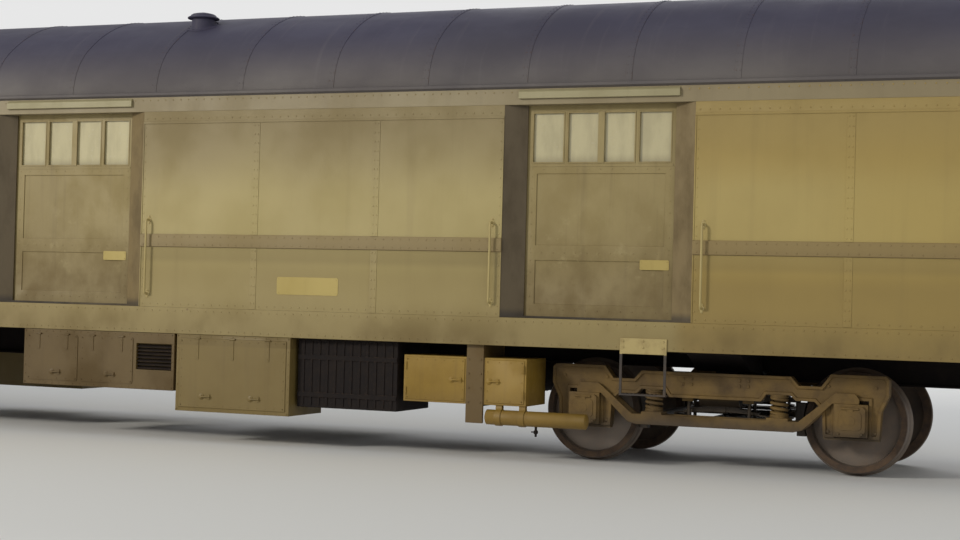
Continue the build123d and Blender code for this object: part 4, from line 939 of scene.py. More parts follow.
def side_rivets():
    """Rows along the sill, the belt rail, the seam and the letterboard, and up the doorways' edges and
    the battens, for the -Y side."""
    wall_y, rail_y, batten_y = -half_width, -half_width - belt_proud, -half_width - batten_proud
    rows = [level_row(-end_inner + 0.05, end_inner - 0.05, wall_y, z)
            for z in (sill_bottom + 0.030, floor_top - 0.035, eave - 0.035)]
    for x0, x1 in panel_spans:
        for y, z in ((wall_y, floor_top + 0.030), (rail_y, belt_bottom + 0.022), (rail_y, belt_top - 0.022),
                     (wall_y, seam_z + 0.030)):
            rows.append(level_row(x0 + 0.04, x1 - 0.04, y, z))
        for x in (x0 + 0.028, x1 - 0.028):
            rows.append(upright_row(x, wall_y, floor_top + 0.10, belt_bottom - 0.04))
            rows.append(upright_row(x, wall_y, belt_top + 0.04, seam_z - 0.06))
    for middle in batten_places():
        for x in (middle - rivet_aside, middle + rivet_aside):
            rows.append(upright_row(x, batten_y, floor_top + 0.06, belt_bottom - 0.03))
            rows.append(upright_row(x, batten_y, belt_top + 0.03, seam_z - 0.05))
    return rivets(np.vstack(rows), outwards)


def side_battens():
    """Flat strips over the joints, below and above the belt rail, and the strips beside each doorway."""
    strips = []
    for x in batten_places():
        for z0, z1 in ((floor_top + 0.004, belt_bottom - 0.004), (belt_top + 0.004, seam_z - 0.026)):
            strips.append(strip_on(half_width, x - batten_half, x + batten_half, z0, z1, batten_proud, 0.002))
    for centre in door_places.values():
        for x in (centre - doorway_half - edge_strip, centre + doorway_half):
            for z0, z1 in ((floor_top + 0.004, belt_bottom - 0.002), (belt_top + 0.002, seam_z - 0.024)):
                strips.append(strip_on(half_width, x, x + edge_strip, z0, z1, 0.006, 0.002))
    return gathered(*strips)


# A bare pale plate beside the middle doorway, low on the side
blank_plate = pinned_plate(half_width, 2.460, 3.120, 1.480, 1.650, 0.018, 0.003, 0.020, 0.003)
new_piece("side_rivets", both_sides(side_rivets()), tan, "car_body")
rounded(new_piece("side_battens", both_sides(side_battens()), tan, "car_body"), 0.0012, 1)
new_piece("blank_plates", gathered(blank_plate, mirrored(blank_plate, -1, -1)), plate_pale, "car_body")


# Roof: lapped sheets with raised seams, rivets beside them, carlines under them, and ventilators
roof_seams = np.linspace(-seam_reach, seam_reach, seam_count)


def roof_shell():
    """The arch carried along the car. Its outer line is set in on the sheets by more than on the raised
    seams, its inner line by the roof's thickness."""
    step = 0.001
    stations = (roof_seams[:, None] + (-seam_half - step, -seam_half, seam_half, seam_half + step)).ravel()
    insets = np.tile((sheet_inset, seam_inset, seam_inset, sheet_inset), len(roof_seams))
    stations = np.concatenate([[-roof_reach], stations, [roof_reach]])
    insets = np.concatenate([[sheet_inset], insets, [sheet_inset]])
    inner = arch(roof_thickness)[::-1]
    rings = [across(x, np.vstack([arch(inset), inner])) for x, inset in zip(stations, insets)]
    return skinned(np.stack(rings))


def roof_rivets():
    """A row on each side of each seam's middle, square to the arch."""
    places, outward = spaced(arch(seam_inset), 0.080)
    stations = (roof_seams[:, None] + (-rivet_aside, rivet_aside)).ravel()
    return rivets(np.vstack([across(x, places) for x in stations]),
                  np.vstack([across(0.0, outward) for _ in stations]), 0.0075, 0.0035)


def carlines():
    """Ribs under the roof: a flat bar's section carried along the inner arch."""
    profile = [(-0.003, -0.02), (0.035, -0.02), (0.035, 0.02), (-0.003, 0.02)]
    inner = arch(roof_thickness)[4:-4]
    return gathered(*[skinned(along(across(x, inner), profile, up=lengthways)) for x in roof_seams])


def ventilators():
    """Squat hoods: neck, rolled brim, stepped cap and button, upright on the slope, and the flashing ring
    with its bolts square to the slope."""
    hood = [(0.120, -0.085), (0.120, 0.052), (0.128, 0.060), (0.150, 0.059), (0.160, 0.062), (0.165, 0.069),
            (0.162, 0.077), (0.152, 0.082), (0.136, 0.088), (0.131, 0.100), (0.112, 0.112), (0.075, 0.121),
            (0.040, 0.124), (0.034, 0.129), (0.010, 0.131)]
    flashing = [(0.168, -0.030), (0.168, -0.004), (0.160, 0.001), (0.140, 0.002), (0.128, 0.012),
                (0.118, 0.013)]
    bolt_ring = 0.152
    turn = np.linspace(0, 2 * np.pi, 10, endpoint=False)[:, None]
    shapes = []
    for x, y in vent_places:
        lean = math.asin(y / crown_radius)
        top = np.array([x, y, crown_centre + math.sqrt(crown_radius ** 2 - y ** 2)])
        slope = np.array([0.0, math.sin(lean), math.cos(lean)])
        aside = np.array([0.0, math.cos(lean), -math.sin(lean)])
        foot = top - slope * seam_inset
        ring = foot + bolt_ring * (np.cos(turn) * lengthways + np.sin(turn) * aside)
        shapes += [turned(hood, [top], upwards, 40), turned(flashing, [foot], slope, 40),
                   bolts(ring, slope, 0.008, 0.006)]
    return gathered(*shapes)


roof_piece = new_piece("roof_sheets", roof_shell(), roof_slate, "car_body", sharp=25.0)
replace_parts(roof_piece, "roof")
new_piece("roof_rivets", roof_rivets(), roof_slate, "car_body")
new_piece("carlines", carlines(), roof_slate, "car_body")
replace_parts(new_piece("ventilators", ventilators(), roof_slate, "car_body"), "roof_vents")


# Side doors: glass in the panes, beads round them, mouldings, a lock, a handle, hangers with their wheels
def door_detail(centre):
    """Beads, mouldings and rivets, for the -Y side."""
    shapes = []
    for number in range(pane_count):
        middle = centre + (number - (pane_count - 1) / 2) * pane_pitch
        x0, x1 = middle - pane_width / 2, middle + pane_width / 2
        for bead in ((x0, x1, pane_top - 0.012, pane_top), (x0, x1, pane_low, pane_low + 0.012),
                     (x0, x0 + 0.010, pane_low + 0.012, pane_top - 0.012),
                     (x1 - 0.010, x1, pane_low + 0.012, pane_top - 0.012)):
            shapes.append(strip_on(door_face, *bead, 0.003, 0.014))
    shapes.append(strip_on(door_face, centre - clear_half + 0.02, centre + clear_half - 0.02,
                           pane_low - 0.030, pane_low - 0.012, 0.004))
    shapes.append(strip_on(door_face, centre - 0.030, centre + 0.030, pane_low + 0.002, pane_top - 0.002,
                           0.007))
    x0, x1 = centre - clear_half + 0.045, centre + clear_half - 0.045
    studs = [level_row(x0, x1, -door_face, z, door_rivet_pitch)
             for z in (floor_top + 0.08, belt_bottom, pane_low - 0.055)]
    studs += [upright_row(x, -door_face, floor_top + 0.20, pane_low - 0.12, door_rivet_pitch)
              for x in (x0, x1)]
    return gathered(*shapes, rivets(np.vstack(studs), outwards, 0.007, 0.0035))


def door_lock(centre, opens):
    """The lock's backplate and its four pins, near the door's trailing edge, for the -Y side."""
    x0, x1 = sorted((centre - opens * lock_near, centre - opens * lock_far))
    return pinned_plate(door_face, x0, x1, 1.785, 1.875, 0.012, 0.0045, 0.018, 0.004)


def inner_fittings(centre, opens):
    """Inside, a pull bar behind the lock, and two hanger straps with a grooved wheel and two bolts each, for
    the -Y side."""
    inner, top = -door_back, door_head + 0.025
    middle = centre - opens * (lock_near + lock_far) / 2
    grip = [(middle, inner, 1.62), (middle, inner + 0.035, 1.62), (middle, inner + 0.035, 1.86),
            (middle, inner, 1.86)]
    wheel = [(0.012, 0.007), (0.036, 0.007), (0.036, 0.012), (0.029, 0.016), (0.029, 0.024), (0.036, 0.028),
             (0.036, 0.033), (0.010, 0.036)]
    shapes = [bar(bent(grip, 0.018), 0.008)]
    for x in (centre - 0.52, centre + 0.52):
        shapes += [slab(soft_corners((x - 0.035, top - 0.20), (x + 0.035, top + 0.045), 0.015), inner - 0.001,
                        inner + 0.007),
                   turned(wheel, [(x, inner, top + 0.018)], inwards, 20),
                   bolts([(x, inner + 0.006, top - 0.16), (x, inner + 0.006, top - 0.09)], inwards, 0.009,
                         0.007)]
    return gathered(*shapes)


for side_name, side in sides.items():
    for place, centre in door_places.items():
        node = f"door_{side_name}_{place}"
        piece = dressed(node, door_tan, 0.003)
        x, y, z = middles(piece)
        share = ((x - centre) / pane_pitch + pane_count / 2) % 1 - 0.5
        glazed(piece, y - side * (door_face + door_back) / 2,
               (np.abs(z - (pane_top + pane_low) / 2) < pane_height / 2 - pane_gap)
               & (np.abs(x - centre) < pane_count / 2 * pane_pitch)
               & (np.abs(share) * pane_pitch < pane_width / 2 - pane_gap))
        opens = door_opens[place]
        for name, shape, finish, slot_name in (
                ("beads", door_detail(centre), door_tan, "door_paint"),
                ("lock", door_lock(centre, opens), plate_pale, "trim_paint"),
                ("inner_fittings", inner_fittings(centre, opens), dark_iron, "underframe_paint")):
            new_piece(f"{node}_{name}", mirrored(shape, y=side * near), finish, node)


# Grab irons: round bars bent into the wall at both ends, on foot plates with two bolts each
def grab(place, outward):
    """A bar from the wall, up and back to it, its turns curved. The wall point is (x, y)."""
    place, outward = np.array([*place, 0.0]), np.array([*outward, 0.0])
    reach = place + outward * grab_out
    path = bent([place + (0, 0, grab_low), reach + (0, 0, grab_low), reach + (0, 0, grab_high),
                 place + (0, 0, grab_high)], 0.030, 7)
    feet = [place + (0, 0, z) for z in (grab_low, grab_high)]
    pads = [foot + (0, 0, shift) for foot in feet for shift in (-0.030, 0.030)]
    collar = [(0.024, -0.001), (0.024, 0.003), (0.014, 0.008), (0.0115, 0.014)]
    return gathered(bar(path, 0.0108, 12), turned(collar, feet, outward, 14),
                    turned([(0.013, -0.001), (0.013, 0.004), (0.011, 0.005)], pads, outward, 10),
                    bolts([pad + outward * 0.004 for pad in pads], outward, 0.007, 0.005))


grab_places = [centre + hand * (doorway_half + 0.095) for centre in door_places.values() for hand in hands]
grab_places += [-end_inner + 0.060, end_inner - 0.060]
side_grabs = gathered(*[grab((x, -half_width), (0, -1)) for x in grab_places])
end_grabs = gathered(*[grab((body_end, y), (1, 0)) for y in (-1.250, 1.250)])
grabs = new_piece("grab_bars", gathered(both_sides(side_grabs), both_ends(end_grabs)), trim_yellow,
                  "car_body")
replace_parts(grabs, "grab_irons")


# Door steps: bolts on the plates and ribs across the treads
def step_fittings(centre):
    """For the -Y side: the step's middle lies to the right of its doorway's."""
    middle = centre + step_offset
    x0, x1 = middle - step_half, middle + step_half
    nuts = [(x, -half_width - step_plate_thickness, z) for x in (x0 + 0.03, middle, x1 - 0.03)
            for z in (sill_bottom + 0.030, sill_bottom + 0.085)]
    ribs = [brick(x - 0.004, x + 0.004, -half_width - 0.008, -half_width + 0.056, tread_top - 0.001,
                  tread_top + 0.004) for x in np.linspace(x0 + 0.06, x1 - 0.06, 9)]
    return gathered(bolts(nuts, outwards, 0.010, 0.007), *ribs)


dressed("door_steps", step_black, 0.002)
steps = gathered(*[step_fittings(door_places[place]) for place in ("left", "right")])
new_piece("step_fittings", both_sides(steps), step_black, "car_body")


# Boxes under the floor: rivets, raised doors, hinges, latches, louvres and slats, drawn for the -Y side
def strap_hinge(x, z, face, length=0.15):
    """A strap down from its barrel, with three rivets."""
    y = -face - 0.005
    studs = [(x, y, z - length * share) for share in (0.22, 0.55, 0.88)]
    return gathered(plate_on(face, x - 0.017, x + 0.017, z - length, z + 0.004, 0.008, 0.005, steps=3),
                    bar([(x - 0.032, y, z + 0.006), (x + 0.032, y, z + 0.006)], 0.0085),
                    rivets(studs, outwards, 0.006, 0.003))


def latch(x, z, face):
    """A round boss with a bent handle and its keeper plate."""
    boss = [(0.030, -0.001), (0.030, 0.004), (0.019, 0.008), (0.017, 0.016), (0.008, 0.018)]
    handle = [(x, -face - 0.012, z), (x + 0.030, -face - 0.016, z), (x + 0.105, -face - 0.016, z)]
    return gathered(turned(boss, [(x, -face, z)], outwards, 18), bar(bent(handle, 0.015, 4), 0.0065, 8),
                    strip_on(face, x + 0.070, x + 0.100, z - 0.024, z + 0.024, 0.008))


def box_door(x0, x1, z0, z1, face):
    """A raised leaf hung from its top edge, latched near its foot."""
    leaf_proud = 0.006
    leaf_face = face + leaf_proud
    aside = (x1 - x0) * 0.22
    return gathered(plate_on(face, x0, x1, z0, z1, 0.020, leaf_proud, 0.002),
                    rivet_frame(x0, x1, z0, z1, leaf_face, 0.020, 0.11),
                    strap_hinge(x0 + aside, z1, leaf_face), strap_hinge(x1 - aside, z1, leaf_face),
                    latch((x0 + x1) / 2, z0 + 0.085, leaf_face))


def battery_fittings(x0, x1, last):
    """Rivets round a battery box between x0 and x1, and its two doors, the second as far as last."""
    low, face = battery_low.z, -battery_low.y
    leaves = [box_door(start, stop, low + 0.050, sill_bottom - 0.055, face)
              for start, stop in ((x0 + 0.050, x0 + 0.660), (x0 + 0.700, last))]
    return gathered(rivet_frame(x0, x1, low, sill_bottom, face), *leaves)


def hatch_louvres():
    """Sloping slats across the battery box's hatch."""
    x0, x1 = battery_high.x - 0.438, battery_high.x - 0.032
    front, back = battery_low.y + 0.010, battery_low.y + 0.052
    slats = [slab([(front, z), (back, z + 0.020), (back, z + 0.026), (front, z + 0.006)], x0, x1, axis=0)
             for z in np.arange(sill_bottom - 0.364, sill_bottom - 0.138, 0.036)]
    return gathered(*slats)


def deep_fittings(x0, x1):
    """A deep box's rivets, and those, three straps and two latches of the single lid on its lip."""
    low, high, face = deep_low.z, sill_bottom, -deep_low.y
    straps = [strap_hinge(x, high - 0.044, face, 0.20) for x in (x0 + 0.24, (x0 + x1) / 2, x1 - 0.24)]
    return gathered(rivet_frame(x0 + lip_margin, x1 - lip_margin, low + lip_margin, high - lip_margin, face,
                                0.024, 0.095),
                    rivet_frame(x0, x1, low, high, face - lip_proud, 0.018, 0.12), *straps,
                    latch(x0 + 0.30, low + 0.15, face), latch(x1 - 0.42, low + 0.15, face))


def locker_fittings():
    """Rivets, side hinges and latches on the two locker doors, and bolts on the post between them."""
    low, high = locker_door_low, locker_door_high
    (hinged_left, post_left), (post_right, hinged_right) = locker_doors
    shapes = [rivet_frame(x0, x1, low, high, locker_face, 0.020, 0.10) for x0, x1 in locker_doors]
    shapes += [bar([(x, -locker_face - 0.003, z - 0.035), (x, -locker_face - 0.003, z + 0.035)], 0.009)
               for x in (hinged_left + 0.006, hinged_right - 0.006) for z in (low + 0.08, high - 0.08)]
    shapes += [latch(x, (low + high) / 2, locker_face) for x in (post_left - 0.130, post_right + 0.035)]
    nuts = [(x, locker_low.y, z) for x in (post_left + 0.045, post_right - 0.045)
            for z in np.linspace(low, high, 4)]
    return gathered(*shapes, bolts(nuts, outwards, 0.010, 0.006))


def case_slats():
    """Upright ribs over the black case's face and two hoops across it."""
    low, high, face = sill_bottom - 0.640, sill_bottom - 0.020, -case_low.y
    ribs = [strip_on(face, x - 0.012, x + 0.012, low, high, 0.008, 0.002)
            for x in np.linspace(case_low.x + 0.060, case_high.x - 0.060, 12)]
    hoops = [strip_on(face, case_low.x + 0.005, case_high.x - 0.005, z - 0.022, z + 0.022, 0.013, 0.002)
             for z in (low + 0.10, high - 0.16)]
    return gathered(*ribs, *hoops)


def far_fittings():
    """The far side's boxes, drawn for -Y and turned over by the caller: a deep box with its lid, a battery
    box and a plain box with three doors."""
    x0, x1 = -deep_high.x, -deep_low.x
    plain_left, plain_right, plain_low, plain_face = 1.200, 2.900, sill_bottom - 0.620, 1.440
    doors = [box_door(x, x + 0.500, plain_low + 0.06, sill_bottom - 0.06, plain_face)
             for x in (plain_left + 0.050, plain_left + 0.600, plain_left + 1.150)]
    lid = plate_on(-deep_low.y - lip_proud, x0 + lip_margin, x1 - lip_margin, deep_low.z + lip_margin,
                   sill_bottom - lip_margin, 0.012, lip_proud, 0.002)
    battery = battery_fittings(-battery_high.x, -battery_low.x, -battery_low.x - 0.050)
    return gathered(deep_fittings(x0, x1), battery,
                    rivet_frame(plain_left, plain_right, plain_low, sill_bottom, plain_face), *doors, lid)


for name, shape, finish, slot_name in (
        ("battery_fittings", battery_fittings(battery_low.x, battery_high.x, battery_high.x - 0.480),
         battery_brown, "box_paint"),
        ("hatch_louvres", hatch_louvres(), black, "underframe_paint"),
        ("deep_fittings", deep_fittings(deep_low.x, deep_high.x), deep_tan, "box_paint"),
        ("locker_fittings", locker_fittings(), locker_ochre, "locker_paint"),
        ("case_slats", case_slats(), black, "underframe_paint"),
        ("far_box_fittings", mirrored(far_fittings(), y=-1), deep_tan, "box_paint")):
    new_piece(name, shape, finish, "car_body")


# Underframe: drain cocks, a pipe between the tanks, brake lever, rods and hangers, the cylinder's pipe
def drain_cock(x, y, z):
    """A short spout with its turned body and key."""
    body = [(0.012, 0.010), (0.012, -0.030), (0.020, -0.034), (0.020, -0.060), (0.011, -0.064),
            (0.010, -0.090)]
    return gathered(turned(body, [(x, y, z)], upwards, 12),
                    bar([(x - 0.045, y, z - 0.047), (x + 0.020, y, z - 0.047)], 0.006, 8))


def brake_gear():
    """The lever on the cylinder's end, a pulled rod to each truck and the U-shaped hangers under them."""
    lever_x, rod_z = -1.900, sill_bottom - 0.150
    rods = {"left": (-0.470, -4.800), "right": (0.060, 4.800)}
    hangers = {"left": (-4.40, -3.10), "right": (-0.60, 0.90, 2.40, 4.20)}
    shapes = [slab(soft_corners((lever_x - 0.040, -0.520), (lever_x + 0.040, 0.640), 0.038), rod_z - 0.010,
                   rod_z + 0.010, axis=2)]
    for y, rest in rods.values():
        shapes += [bar([(lever_x, y, rod_z - 0.022), (rest, y, rod_z - 0.022)], 0.014),
                   bolts([(lever_x, y, rod_z + 0.010)], upwards, 0.020, 0.014)]
    for end, places in hangers.items():
        y0, y1 = rods[end][0] - 0.06, rods[end][0] + 0.06
        top, foot = sill_bottom + 0.10, rod_z - 0.045
        shapes += [bar(bent([(x, y0, top), (x, y0, foot), (x, y1, foot), (x, y1, top)], 0.03, 5), 0.007, 8)
                   for x in places]
    return gathered(*shapes)


def underframe_fittings():
    """Cocks under the tanks and the small reservoir, and the bars and pipes of the brake."""
    tank_z, tank_y, tank_radius = sill_bottom - 0.330, 1.130, 0.203
    tanks = ((-3.860, -tank_y), (-2.090, -tank_y), (3.850, tank_y))
    reservoir = (reservoir_low + reservoir_high) / 2
    pipe_z = sill_bottom - 0.26
    cylinder_pipe = [(-1.25, 0.40, sill_bottom - 0.150), (-1.25, 0.40, pipe_z), (-0.40, 0.40, pipe_z),
                     (-0.40, -0.90, pipe_z), (-0.90, -0.90, pipe_z)]
    return gathered(*[drain_cock(x, y, tank_z - tank_radius) for x, y in tanks],
                    drain_cock(reservoir.x, reservoir.y, sill_bottom - 0.735),
                    bar([(-3.03, -tank_y, tank_z), (-2.92, -tank_y, tank_z)], 0.022, 12), brake_gear(),
                    bar(bent(cylinder_pipe, 0.06), 0.013))


new_piece("underframe_fittings", underframe_fittings(), black, "car_body")


# Trucks: coils and leaves for the springs, lids on the journal boxes, bolts on the frames
def coil(x, y, low, high, radius, wire, turns):
    """A helix whose ends lie flat: the rise is held back over the first and last three quarters of a turn."""
    turn = np.linspace(0, turns * 2 * np.pi, int(turns * 15))
    share = np.clip((turn / (2 * np.pi) - 0.75) / (turns - 1.5), 0, 1)
    z = low + wire + share * (high - low - 2 * wire)
    return bar(np.stack([x + radius * np.cos(turn), y + radius * np.sin(turn), z], axis=-1), wire, 8)


def leaves(x, sign):
    """Half of an elliptic spring: four leaves that bow away from the other half, each shorter than the
    last, and the band round them. A leaf's inner face lies at 0.0310 (1 - (s / reach)^2) from the middle,
    plus the leaves before it."""
    thick, reach, band_half = 0.0122, 0.430, 0.050
    shapes = []
    for number in range(4):
        half = reach - 0.085 * number
        s = np.linspace(-half, half, 15)
        inner = 0.0012 + 0.0310 * (1 - (s / reach) ** 2) + number * (thick + 0.0003)
        outline = np.vstack([np.stack([x + s, spring_z + sign * inner], axis=-1),
                             np.stack([x + s, spring_z + sign * (inner + thick)], axis=-1)[::-1]])
        shapes.append(slab(outline, leaf_y - 0.066, leaf_y + 0.066))
    z0, z1 = spring_z + sign * 0.030, spring_z + sign * 0.0822
    shapes.append(slab([(x - band_half, z0), (x + band_half, z0), (x + band_half, z1), (x - band_half, z1)],
                       leaf_y - 0.074, leaf_y + 0.074))
    return gathered(*shapes)


def truck_spring_set(centre):
    """Nested coils between their seats at both ends of the equalizers, and the elliptic springs at the
    bolster with a pin through each end."""
    shapes = []
    low, high = axle_z + 0.0215, axle_z + 0.2245
    for x in (centre - coil_x, centre + coil_x):
        shapes += [coil(x, journal_y, low, high, 0.0685, 0.0150, 5.5),
                   coil(x, journal_y, low, high, 0.037, 0.0095, 7.5),
                   turned([(0.020, 0.0), (0.084, 0.0), (0.084, 0.007), (0.020, 0.010)], [(x, journal_y, low)],
                          upwards, 24),
                   turned([(0.020, -0.010), (0.084, -0.007), (0.084, 0.0), (0.020, 0.0)],
                          [(x, journal_y, high)], upwards, 24)]
    shapes += [leaves(centre, 1), leaves(centre, -1)]
    shapes += [bar([(x, leaf_y - 0.073, spring_z), (x, leaf_y + 0.073, spring_z)], 0.0075)
               for x in (centre - 0.422, centre + 0.422)]
    return both_sides(gathered(*shapes))


def journal_lid(x):
    """The lid's raised panel, its hinge across the top, its spring boss, and the bolts below."""
    low, high = axle_z - 0.052, axle_z + 0.112
    boss = [(0.046, 0.0), (0.043, 0.003), (0.030, 0.004), (0.022, 0.0035)]
    nuts = [(x - 0.100, -journal_face, axle_z - 0.085), (x + 0.100, -journal_face, axle_z - 0.085)]
    return gathered(plate_on(journal_face, x - 0.098, x + 0.098, low, high, 0.034, 0.006, 0.002, 5),
                    bar([(x - 0.075, -journal_face - 0.001, high + 0.024),
                         (x + 0.075, -journal_face - 0.001, high + 0.024)], 0.012, 12),
                    strip_on(journal_face, x - 0.026, x + 0.026, high - 0.010, high + 0.026, 0.009),
                    turned(boss, [(x, -journal_face - 0.006, axle_z + 0.030)], outwards, 22),
                    bolts(nuts, outwards, 0.013, 0.009))


def frame_bolts(centre):
    """Bolts at the pedestal legs and beside the bolster."""
    web = journal_y + frame_half - flange_depth
    places = [(centre + hand * (axle_half + leg), -web, z) for hand in hands for leg in (-0.205, 0.205)
              for z in (axle_z - 0.075, axle_z + 0.320)]
    places += [(centre + x, -web, axle_z + z) for x in (-0.30, -0.22, 0.22, 0.30) for z in (0.285, 0.335)]
    return bolts(places, outwards, 0.016, 0.008)


for end, centre in truck_places.items():
    body = f"truck_{end}"
    springs = new_piece(f"coils_and_leaves_{end}", truck_spring_set(centre), cast, body)
    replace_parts(springs, f"truck_springs_{end}")
    lids = gathered(*[journal_lid(centre + hand * axle_half) for hand in hands])
    rounded(new_piece(f"journal_lids_{end}", both_sides(lids), cast, body), 0.0025, 2, 50.0)
    new_piece(f"frame_bolts_{end}", both_sides(frame_bolts(centre)), cast, body)


# Ends: rivets, posts, the pleated passage, the face plate's bolts, uncoupling levers and pins, doors
def end_rivets():
    """Rows up the corners, beside the doorway and across the end, for the +X end."""
    rows = [upright_row(body_end, hand * y, floor_top + 0.05, eave - 0.05) for y in (0.430, 1.455)
            for hand in hands]
    rows += [row_of((body_end, hand * 0.47, z), (body_end, hand * 1.42, z))
             for z in (floor_top + 0.035, belt_bottom + 0.06, eave - 0.04) for hand in hands]
    return rivets(np.vstack(rows), lengthways)


def end_posts():
    """Two upright ribs each side of the doorway, for the +X end."""
    ribs = [slab(soft_corners((body_end - 0.002, y - 0.030), (body_end + 0.016, y + 0.030), 0.006, 3),
                 floor_top + 0.04, eave - 0.08, axis=2) for y in (-0.950, -0.640, 0.640, 0.950)]
    return gathered(*ribs)


def pleats():
    """The passage's bellows: an inverted U along which runs a section whose outer edge folds six times,
    half a fold's depth times (1 - cos(2 pi x / pitch)) inwards, round an inner lining."""
    fold_pitch, fold_half, lining, clearance = 0.045, 0.0225, 0.1075, 0.0005
    reach = 6 * fold_pitch
    depth = np.linspace(0.0, reach, 73)
    fold = fold_half * (1 - np.cos(2 * np.pi * depth / fold_pitch)) + 0.0004
    profile = np.vstack([np.stack([fold, depth], axis=-1), [(lining, reach), (lining, 0.0)]])
    half, low, top = round(passage_high.y, 4) - clearance, passage_low.z, passage_high.z - clearance
    path = bent([(body_end, -half, low), (body_end, -half, top), (body_end, half, top),
                 (body_end, half, low)], 0.17, 12)
    return skinned(along(path, profile, up=lengthways))


def face_plate_bolts():
    """A column up each side of the face plate and a row across its head, for the +X end."""
    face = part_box("face_plates")[1].x
    low, high, pitch = passage_low.z + 0.050, passage_high.z - 0.060, 0.160
    rows = [upright_row(face, y, low, high, pitch) for y in (-0.480, 0.480)]
    rows.append(row_of((face, -0.380, high), (face, 0.380, high), pitch))
    return bolts(np.vstack(rows), lengthways, 0.012, 0.006)


def end_gear():
    """The uncoupling lever in its two eyes and the knuckle's pin, for the +X end."""
    rod_x, rod_z = body_end + 0.048, coupler_z + 0.160
    lever = [(rod_x, -1.340, rod_z - 0.170), (rod_x, -1.340, rod_z), (rod_x, -0.240, rod_z),
             (rod_x + 0.150, -0.120, rod_z + 0.010)]
    eyes = [brick(body_end - 0.002, rod_x + 0.016, y - 0.012, y + 0.012, rod_z - 0.030, rod_z + 0.030)
            for y in (-1.280, -0.560)]
    pin = [(0.022, -0.150), (0.022, 0.146), (0.034, 0.147), (0.034, 0.156), (0.020, 0.162)]
    return gathered(bar(bent(lever, 0.05), 0.012), *eyes,
                    turned(pin, [(body_end + 0.310, 0.110, coupler_z)], upwards))


def end_door_fittings():
    """A lever handle, its plate, and a kick plate, for the +X end's door."""
    face = end_inner + end_leaf_thickness
    grip_z = floor_top + 1.05
    grip = [(face, 0.300, grip_z), (face + 0.040, 0.300, grip_z), (face + 0.040, 0.180, grip_z)]
    return gathered(slab(soft_corners((0.270, floor_top + 0.92), (0.330, floor_top + 1.12), 0.014),
                         face - 0.001, face + 0.004, axis=0),
                    bar(bent(grip, 0.015, 5), 0.0085),
                    slab(soft_corners((-0.335, floor_top + 0.020), (0.335, floor_top + 0.130), 0.010),
                         face - 0.001, face + 0.003, axis=0))


new_piece("end_rivets", both_ends(end_rivets()), end_tan, "car_body")
rounded(new_piece("end_posts", both_ends(end_posts()), end_tan, "car_body"), 0.003)
bellows = new_piece("pleats", both_ends(pleats()), rubber, "car_body", sharp=50.0)
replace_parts(bellows, "diaphragms")
new_piece("face_plate_bolts", both_ends(face_plate_bolts()), dark_iron, "car_body")
new_piece("end_gear", both_ends(end_gear()), dark_iron, "car_body")
for end, sign in (("left", -1), ("right", 1)):
    node = f"end_door_{end}"
    piece = dressed(node, door_tan, 0.003)
    x, y, z = middles(piece)
    glazed(piece, x * sign - end_inner - end_leaf_thickness / 2,
           (np.abs(y) < end_pane_half_width - pane_gap)
           & (np.abs(z - end_pane_z) < end_pane_half_height - pane_gap))
    new_piece(f"{node}_fittings", mirrored(end_door_fittings(), x=sign), dark_iron, node)


# Stage: pale floor, soft light and the photograph's camera
def stage_floor():
    """A pale square under the car."""
    half, pale = 60.0, (0.80, 0.80, 0.80, 1.0)
    corners = [(-half, -half, 0), (half, -half, 0), (half, half, 0), (-half, half, 0)]
    mesh = bpy.data.meshes.new("studio_floor")
    mesh.from_pydata(corners, [], [(0, 1, 2, 3)])
    mesh.materials.append(Finish("studio_floor", Base_Color=pale, Roughness=0.9).material)
    piece = bpy.data.objects.new("studio_floor", mesh)
    bpy.context.scene.collection.objects.link(piece)


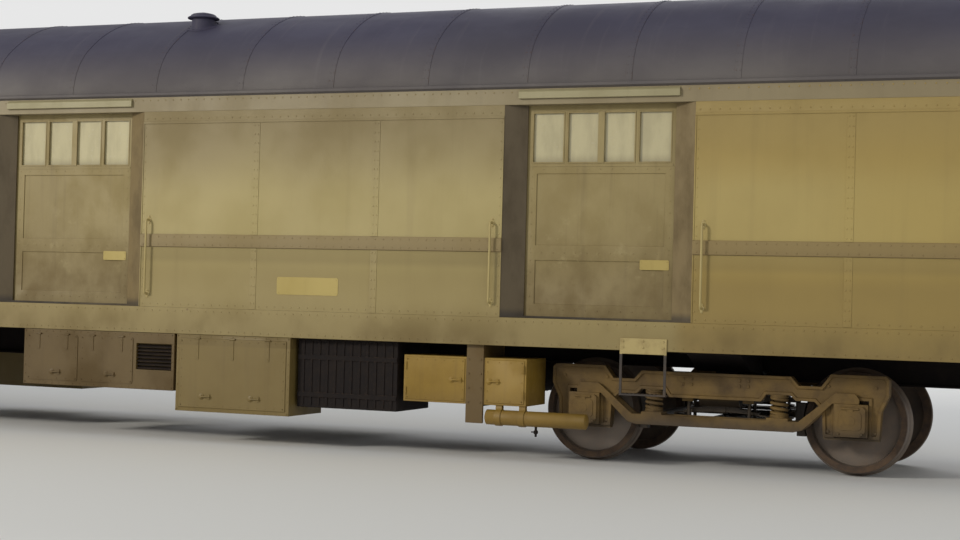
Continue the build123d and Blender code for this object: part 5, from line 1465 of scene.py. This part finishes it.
def world():
    """White to the camera and in reflections, a plain soft grey as light."""
    studio = bpy.data.worlds.new("studio")
    bpy.context.scene.world = studio
    graph = Graph(studio)
    light = graph.node("ShaderNodeBackground", {}, {"Color": (0.93, 0.96, 0.97, 1.0), "Strength": 0.40})
    white = graph.node("ShaderNodeBackground")
    rays = graph.node("ShaderNodeLightPath").socket.node.outputs
    camera_ray, glossy_ray, transmission_ray = (
        Signal(graph, rays[kind]) for kind in ("Is Camera Ray", "Is Glossy Ray", "Is Transmission Ray"))
    seen = camera_ray.most(glossy_ray).most(transmission_ray)
    both = graph.node("ShaderNodeMixShader", {}, [seen, light, white])
    graph.node("ShaderNodeOutputWorld", {}, {"Surface": both})


def lamp(name, place, aim, size, power, colour=(1.0, 1.0, 1.0)):
    """A rectangular lamp at a place, turned towards its aim."""
    light = bpy.data.lights.new(name, "AREA")
    light.shape = "RECTANGLE"
    light.size, light.size_y = size
    light.energy = power
    light.color = colour
    piece = bpy.data.objects.new(name, light)
    bpy.context.scene.collection.objects.link(piece)
    piece.location = place
    piece.rotation_euler = (Vector(aim) - Vector(place)).to_track_quat("-Z", "Y").to_euler()


def camera():
    """The photograph's view: focal length, place and turns found by fitting the car's long lines."""
    focal_pixels, frame_width = 1700.0, 960.0
    stand = (10.42, -half_width - 14.54, 1.50)
    lens = bpy.data.cameras.new("photo_view")
    lens.sensor_width = 36.0
    lens.lens = focal_pixels / frame_width * lens.sensor_width
    lens.clip_end = 500.0
    piece = bpy.data.objects.new("photo_view", lens)
    bpy.context.scene.collection.objects.link(piece)
    yaw, pitch, roll = math.radians(21.90), math.radians(0.93), math.radians(1.5)
    piece.matrix_world = (Matrix.Translation(stand) @ Matrix.Rotation(yaw, 4, "Z")
                          @ Matrix.Rotation(math.pi / 2 + pitch, 4, "X") @ Matrix.Rotation(roll, 4, "Z"))
    bpy.context.scene.camera = piece


stage_floor()
world()
lamp("key", (-18.0, -28.0, 14.5), (2.0, 0.0, 2.0), (5.0, 5.0), 6300.0, (1.0, 0.95, 0.84))
lamp("fill", (26.0, -20.0, 12.0), (4.0, 0.0, 2.0), (18.0, 12.0), 1100.0, (1.0, 0.96, 0.88))
lamp("back", (0.0, 30.0, 18.0), (0.0, 0.0, 2.0), (24.0, 12.0), 3000.0)
camera()
bpy.context.scene.view_settings.view_transform = "Standard"
